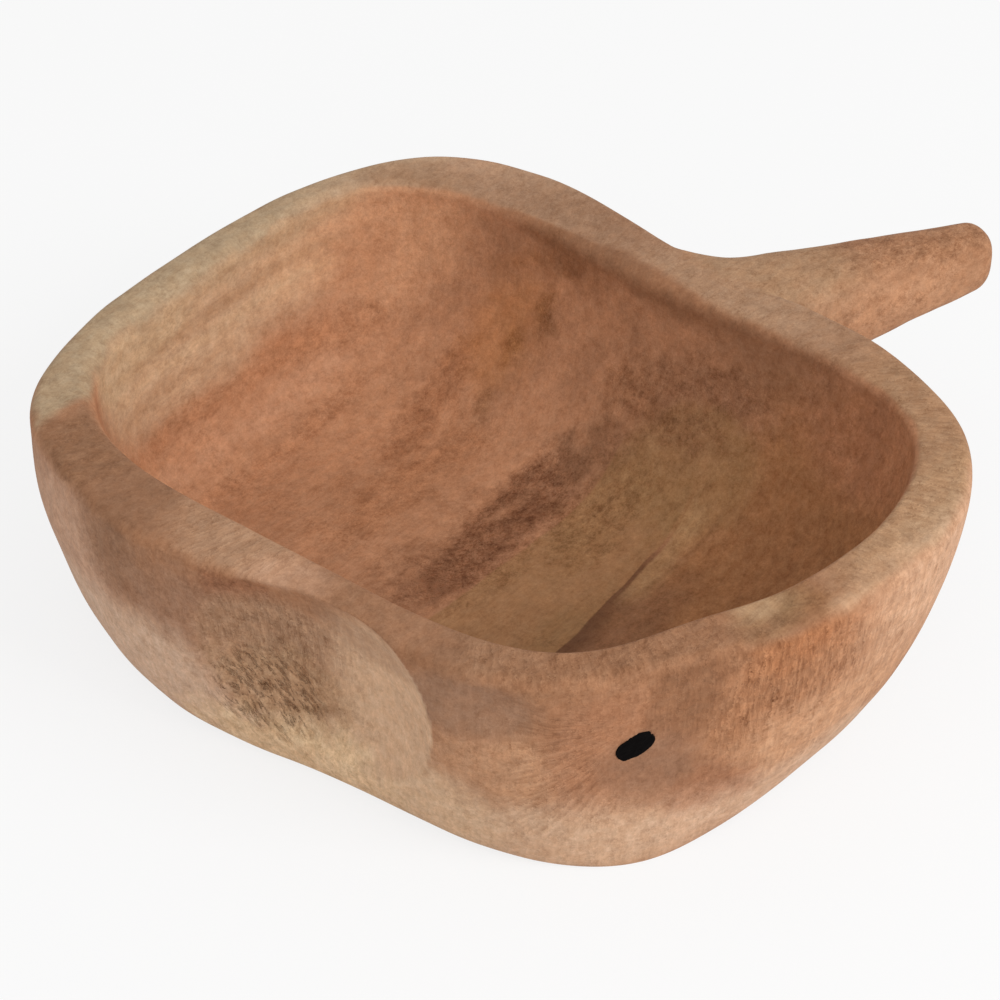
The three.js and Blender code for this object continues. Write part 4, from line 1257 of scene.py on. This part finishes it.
class Finish:
    """The procedural nodes of one material, or of the room."""

    def __init__(self, holder: bpy.types.Material | bpy.types.World) -> None:
        """Starts with nothing but the output."""
        holder.use_nodes = True
        self.tree = holder.node_tree
        self.tree.nodes.clear()
        room = isinstance(holder, bpy.types.World)
        self.output = self.tree.nodes.new("ShaderNodeOutputWorld" if room else "ShaderNodeOutputMaterial")

    def add(
        self, kind: str, settings: dict | None = None, inputs: dict | None = None, out: int | str = 0
    ) -> Flow:
        """Adds one node: its settings first, then the values or links of its sockets.

        Args:
            kind: the node's type.
            settings: its properties.
            inputs: values or flows by socket name or number.
            out: which output to use.

        Returns:
            The flow out of the node.
        """
        node = self.tree.nodes.new(kind)
        for key, value in (settings or {}).items():
            setattr(node, key, value)
        for key, value in (inputs or {}).items():
            if isinstance(value, Flow):
                self.tree.links.new(value.socket, node.inputs[key])
            else:
                node.inputs[key].default_value = value
        return Flow(self, node.outputs[out])

    def end(self, shader: Flow) -> None:
        """Leads a shader to the output."""
        self.tree.links.new(shader.socket, self.output.inputs["Surface"])

    def place(self) -> Flow:
        """Object coordinates in millimetres."""
        return self.add("ShaderNodeTexCoord", out="Object").scaled(1 / MM)

    def kept(self, name: str, out: str) -> Flow:
        """What the mesh keeps on its points under a name."""
        return self.add("ShaderNodeAttribute", {"attribute_name": name}, out=out)

    def parts(self, vector: Flow) -> tuple[Flow, ...]:
        """The three numbers of a vector."""
        node = self.add("ShaderNodeSeparateXYZ", {}, {0: vector}).socket.node
        return tuple(Flow(self, output) for output in node.outputs)

    def vector(self, x: Flow | float, y: Flow | float, z: Flow | float) -> Flow:
        """A vector of three numbers."""
        return self.add("ShaderNodeCombineXYZ", {}, {0: x, 1: y, 2: z})

    def length(self, vector: Flow) -> Flow:
        """The length of a vector."""
        return self.add("ShaderNodeVectorMath", {"operation": "LENGTH"}, {0: vector}, out=1)

    def angle(self, rise: Flow, run: Flow) -> Flow:
        """The angle, in radians, whose tangent is the rise over the run."""
        return self.add("ShaderNodeMath", {"operation": "ARCTAN2"}, {0: rise, 1: run})

    def larger(self, first: Flow, second: Flow) -> Flow:
        """The larger of two numbers."""
        return self.add("ShaderNodeMath", {"operation": "MAXIMUM"}, {0: first, 1: second})

    def noise(
        self, where: Flow, sizes: tuple[float, float, float], detail: float, rough: float = 0.5
    ) -> Flow:
        """Noise from 0 to 1 whose cells have the given sizes in millimetres."""
        stretched = where * tuple(1 / size for size in sizes)
        values = {"Vector": stretched, "Scale": 1.0, "Detail": detail, "Roughness": rough}
        return self.add("ShaderNodeTexNoise", {}, values)

    def mix(self, share: Flow, first: Flow | tuple, second: Flow | tuple) -> Flow:
        """Mixes two colours."""
        settings = {"data_type": "RGBA", "blend_type": "MIX", "clamp_factor": True}
        return self.add("ShaderNodeMix", settings, {0: share, 6: first, 7: second}, out=2)

    def surface(self, colour: Flow, height: Flow, depth: float, rough: float, level: float) -> None:
        """Ends the material in one Principled shader over a bump.

        Args:
            colour: the surface's colour.
            height: the bump's height.
            depth: how far a height of 1 stands out, in millimetres.
            rough: the roughness.
            level: the specular level.
        """
        bump = self.add("ShaderNodeBump", {}, {"Height": height, "Strength": 1.0, "Distance": depth * MM})
        values = {"Base Color": colour, "Roughness": rough, "Specular IOR Level": level, "Normal": bump}
        self.end(self.add("ShaderNodeBsdfPrincipled", {}, values))


@dataclass(frozen=True)
class Band:
    """A straight band of another tone on the floor. Each edge is a slope across the grain, and where
    the tone starts to show and is full. The ends are the same along the grain, without a slope."""

    edges: tuple[tuple[float, float, float], ...]
    ends: tuple[tuple[float, float], ...]
    colour: tuple[int, int, int]
    share: float


# Olive heartwood, the dark streak along its second edge, and a pale and a thin dark streak beside it
FLOOR_BANDS = (
    Band(((0.03, 2.2, 0.9), (-0.08, -41.9, -40.9)), (), (148, 111, 73), 0.65),
    Band(((-0.08, -40.9, -41.6), (-0.08, -53, -41.6)), ((72, 50),), (92, 58, 38), 0.75),
    Band(((-0.08, -42.4, -43.6), (-0.08, -54, -46)), ((26, 46), (92, 76)), (178, 138, 97), 0.65),
    Band(((0.1, -39.4, -40.4), (0.1, -42.4, -41.2)), ((34, 46), (92, 80)), (92, 60, 40), 0.15),
)


@dataclass(frozen=True)
class WoodFinish:
    """Close-grained hardwood, cut and scraped by hand: the tones and marks kept on the points, under
    fine specks, fibres and the tool's strokes, which run up the walls and in over the rim. The strokes
    and the combing are noise that is drawn out along them, so their pitch is the radius at which one
    cell is as wide as on the flat."""

    name: str
    on_body: bool = False
    fibre_cells: tuple[float, float, float] = (6.2, 5.2, 5.2)
    speck_cells: tuple[float, float, float] = (1.7, 1.3, 1.3)
    hue_cells: tuple[float, float, float] = (5, 3.5, 3.5)
    stroke_cells: tuple[float, float, float] = (1.1, 9, 1)
    stroke_pitch: float = 105
    stroke_middle: float = 19
    stroke_waver: float = 3.0
    comb_cells: tuple[float, float, float] = (1.1, 12, 1)
    comb_middle: tuple[float, float, float] = (-54, -116, 63)
    comb_turn: float = -128
    comb_pitch: float = 26
    comb_waver: float = 2.0
    nick_cells: tuple[float, float, float] = (5.5, 1.5, 4)
    nick_waver: float = 2.5
    band_cells: tuple[float, float, float] = (16, 16, 16)
    band_waver: float = 2.6
    warmer: tuple[float, float, float] = (1.05, 0.98, 0.91)
    speck_tone: tuple[float, float, float] = (0.64, 0.53, 0.45)
    shade_tones: tuple[float, float, float] = (0.86, 1.02, 1.16)
    rough: float = 0.7
    level: float = 0.16
    bump_depth: float = 0.3

    def floor_bands(self, f: Finish, colour: Flow, place: Flow) -> Flow:
        """Draws the bands on the floor along the grain.

        Args:
            f: the finish.
            colour: the tones under them.
            place: the place in millimetres.

        Returns:
            The tones with the bands.
        """
        x, y, _ = f.parts(place)
        waver = (f.noise(place, self.band_cells, 1) - 0.5) * self.band_waver
        share = f.kept("floor_share", "Fac")
        for band in FLOOR_BANDS:
            shown = share
            for slope, start, full in band.edges:
                shown = shown * (y + waver + x * slope).step(start, full)
            for start, full in band.ends:
                shown = shown * x.step(start, full)
            colour = f.mix(shown * band.share, colour, tone(*band.colour))
        return colour

    def strokes(self, f: Finish, place: Flow, fibre: Flow) -> Flow:
        """The tool's strokes: noise on the bearing, and on the height less the distance from the axis.

        Args:
            f: the finish.
            place: the place in millimetres.
            fibre: noise that makes the strokes waver.

        Returns:
            Their height, from about -0.5 to 0.5.
        """
        x, y, z = f.parts(place)
        around = f.angle(y, x - self.stroke_middle) * self.stroke_pitch
        where = f.vector(around, z - f.length(place * (1, 1, 0)), 0.0)
        return f.noise(where + (fibre - 0.5) * self.stroke_waver, self.stroke_cells, 2, 0.8) - 0.5

    def combing(self, f: Finish, place: Flow, fibre: Flow) -> Flow:
        """Fine strokes that fan out below the rim by the knot: noise on the angle and distance from the
        fan's middle, in the plane of the wall.

        Args:
            f: the finish.
            place: the place in millimetres.
            fibre: noise that makes the strokes waver.

        Returns:
            Their height, from about -0.5 to 0.5.
        """
        turn = (0, 0, np.radians(self.comb_turn))
        values = {"Vector": place, "Location": self.comb_middle, "Rotation": turn}
        fan = f.add("ShaderNodeMapping", {"vector_type": "TEXTURE"}, values)
        _, side, height = f.parts(fan)
        spokes = f.vector(f.angle(height, side) * self.comb_pitch, f.length(fan * (0, 1, 1)), 0.0)
        return f.noise(spokes + (fibre - 0.5) * self.comb_waver, self.comb_cells, 2, 0.7) - 0.5

    def slanting_nicks(self, f: Finish, place: Flow, fibre: Flow) -> Flow:
        """Noise drawn out on the slant, for the torn grain low in the scoop."""
        x, y, z = f.parts(place)
        slant = f.vector((y + z) * -0.7, (y - z) * 0.7, x)
        return f.noise(slant + (fibre - 0.5) * self.nick_waver, self.nick_cells, 2, 0.75)

    def build(self) -> bpy.types.Material:
        """Makes the wood's material.

        Returns:
            The material.
        """
        material = bpy.data.materials.new(self.name)
        f = Finish(material)
        place = f.place()
        colour = f.kept("tone", "Color")
        flecks, strokes, combing = f.parts(f.kept("marks", "Vector"))
        fibre = f.noise(place, self.fibre_cells, 4, 0.94)
        specks = f.noise(place, self.speck_cells, 2, 0.8)
        cut = self.strokes(f, place, fibre) * strokes
        shade = (fibre - 0.5) * (flecks * 1.5 + 1.1) + (specks - 0.5) * (flecks * 0.3 + 0.32) + cut * 0.9
        relief = fibre * 0.8 + cut * 1.2
        if self.on_body:
            combed = self.combing(f, place, fibre) * combing
            nicks, torn_share = self.slanting_nicks(f, place, fibre), 1 - f.kept("tone", "Alpha")
            torn, whole = nicks.step(0.5, 0.68) * torn_share, nicks.step(0.47, 0.36) * torn_share
            shade = shade + combed * 1.1 - torn * 0.25 + whole * 0.14
            relief = relief + combed * 1.6 - torn * 2.0
            colour = self.floor_bands(f, colour, place)
        hue = f.noise(place, self.hue_cells, 1, 0.6)
        colour = f.mix(hue.step(0.35, 0.65, 0, 0.5), colour, colour * self.warmer)
        colour = colour * (f.vector(*(shade * share for share in self.shade_tones)) + (1.0, 1.0, 1.0))
        dots = (specks + flecks * 0.1).step(0.62, 0.74) * (flecks * 0.55 + 0.08)
        colour = f.mix(dots, colour, colour * self.speck_tone)
        f.surface(colour, relief - dots * 0.3, self.bump_depth, self.rough, self.level)
        return material


@dataclass(frozen=True)
class PlainFinish:
    """A quiet finish for what hardly shows: one tone, varied by fine fibres."""

    name: str
    colour: tuple[int, int, int]
    rough: float = 0.7
    level: float = 0.3
    fibre_cells: tuple[float, float, float] = (9, 0.9, 0.9)
    spot_cells: tuple[float, float, float] = (1.4, 1.1, 1.1)
    darkest: float = 0.8
    lightest: float = 1.12
    bump_depth: float = 0.12

    def build(self) -> bpy.types.Material:
        """Makes the material."""
        material = bpy.data.materials.new(self.name)
        f = Finish(material)
        place = f.place()
        fibre = f.noise(place, self.fibre_cells, 3, 0.6)
        spots = f.noise(place, self.spot_cells, 2, 0.6)
        low, high = (tone(*(int(c * share) for c in self.colour)) for share in (self.darkest, self.lightest))
        colour = f.mix(fibre * 0.7 + spots * 0.3, low, high)
        f.surface(colour, spots + fibre, self.bump_depth, self.rough, self.level)
        return material


@dataclass
class Studio:
    """The camera at the photograph's angle, the pale floor and the soft lights. Lengths are metres but
    for the camera's, and each lamp has its name, place, size and power."""

    azimuth: float = 51.5
    elevation: float = 38
    distance: float = 911
    aim: tuple[float, float, float] = (-18.5, -31, 82)
    lens: float = 104.4
    sensor: float = 36
    clip: tuple[float, float] = (0.05, 20)
    floor_half: float = 3.0
    floor_colour: tuple[float, float, float, float] = (0.86, 0.86, 0.86, 1)
    floor_glow: float = 0.8
    room_level: float = 0.62
    lamp_aim: tuple[float, float, float] = (0.0, 0.0, 0.03)
    lamps: tuple[tuple[str, tuple[float, float, float], float, float], ...] = (
        ("key", (0.25, -1.5, 1.15), 0.9, 16),
        ("front", (-1.5, -0.9, 1.0), 1.0, 5),
    )

    def set_up(
        self, name: str, data: bpy.types.Camera | bpy.types.Light, place: Vector, look: Vector
    ) -> bpy.types.Object:
        """Puts a camera or a lamp in its place.

        Args:
            name: its name.
            data: its camera or light.
            place: where it stands, in metres.
            look: the direction that it looks in.

        Returns:
            The new object.
        """
        item = bpy.data.objects.new(name, data)
        turn = look.to_track_quat("-Z", "Y").to_matrix().to_4x4()
        item.matrix_world = Matrix.Translation(place) @ turn
        bpy.context.scene.collection.objects.link(item)
        return item

    def camera(self) -> None:
        """Sets the camera on its line to the point that it is aimed at."""
        turn, tilt = np.radians(self.azimuth), np.radians(self.elevation)
        look = np.array([np.sin(turn) * np.cos(tilt), np.cos(turn) * np.cos(tilt), -np.sin(tilt)])
        position = (np.array(self.aim) - look * self.distance) * MM
        data = bpy.data.cameras.new("camera")
        data.lens, data.sensor_width = self.lens, self.sensor
        data.clip_start, data.clip_end = self.clip
        bpy.context.scene.camera = self.set_up("camera", data, Vector(position), Vector(look))

    def light(self) -> None:
        """Hangs the square soft lamps, aimed at the middle of the bowl."""
        for name, place, size, power in self.lamps:
            data = bpy.data.lights.new(name, "AREA")
            data.shape, data.size, data.energy = "SQUARE", size, power
            self.set_up(name, data, Vector(place), Vector(self.lamp_aim) - Vector(place))

    def seen(self, f: Finish) -> Flow:
        """1 for rays from the camera, a mirror or glass, and 0 for the rest."""
        kinds = ("Is Camera Ray", "Is Glossy Ray", "Is Transmission Ray")
        camera, glossy, through = (f.add("ShaderNodeLightPath", out=kind) for kind in kinds)
        return f.larger(f.larger(camera, glossy), through)

    def floor(self) -> None:
        """Lays the pale floor, which keeps the bowl's shadow."""
        half = self.floor_half
        corners = [(-half, -half, 0), (half, -half, 0), (half, half, 0), (-half, half, 0)]
        mesh = bpy.data.meshes.new("floor")
        mesh.from_pydata(corners, [], [(0, 1, 2, 3)])
        floor = bpy.data.objects.new("floor", mesh)
        bpy.context.scene.collection.objects.link(floor)
        material = bpy.data.materials.new("floor_white")
        f = Finish(material)
        diffuse = f.add("ShaderNodeBsdfDiffuse", {}, {"Color": self.floor_colour})
        glow = f.add("ShaderNodeEmission", {}, {"Color": WHITE, "Strength": 1.0})
        f.end(f.add("ShaderNodeMixShader", {}, {0: self.seen(f) * self.floor_glow, 1: diffuse, 2: glow}))
        mesh.materials.append(material)

    def room(self) -> None:
        """Lights the room evenly and shows it white."""
        world = bpy.data.worlds.new("room")
        bpy.context.scene.world = world
        f = Finish(world)
        lit = f.add("ShaderNodeBackground", {}, {"Color": WHITE, "Strength": self.room_level})
        white = f.add("ShaderNodeBackground", {}, {"Color": WHITE, "Strength": 1.0})
        f.end(f.add("ShaderNodeMixShader", {}, {0: self.seen(f), 1: lit, 2: white}))

    def build(self) -> None:
        """Sets up the whole studio."""
        bpy.context.scene.view_settings.view_transform = "Standard"
        self.camera()
        self.floor()
        self.room()
        self.light()


def main() -> None:
    """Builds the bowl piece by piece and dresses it."""
    logging.basicConfig(level=logging.INFO, format="%(name)s: %(message)s")
    Studio().build()
    line = StemLine()
    shape = BowlBody(line)
    knot = Knot(shape)
    tones = WoodTones()
    body = CarvedBody(shape, StemRoot(shape), knot, tones).build()
    stem = Stem(line, shape.root_start(), tones).build()
    plug = knot.build()
    body.data.materials.append(WoodFinish("bowl_hardwood", on_body=True).build())
    stem.data.materials.append(WoodFinish("stem_hardwood", stroke_pitch=210).build())
    plug.data.materials.append(PlainFinish("dead_knot", (12, 9, 9), 0.95, 0.05).build())
    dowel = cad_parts["stem_dowel"]
    dowel.data.materials.clear()
    dowel.data.materials.append(PlainFinish("dowel_wood", (205, 175, 135)).build())


if __name__ == "__main__":
    main()
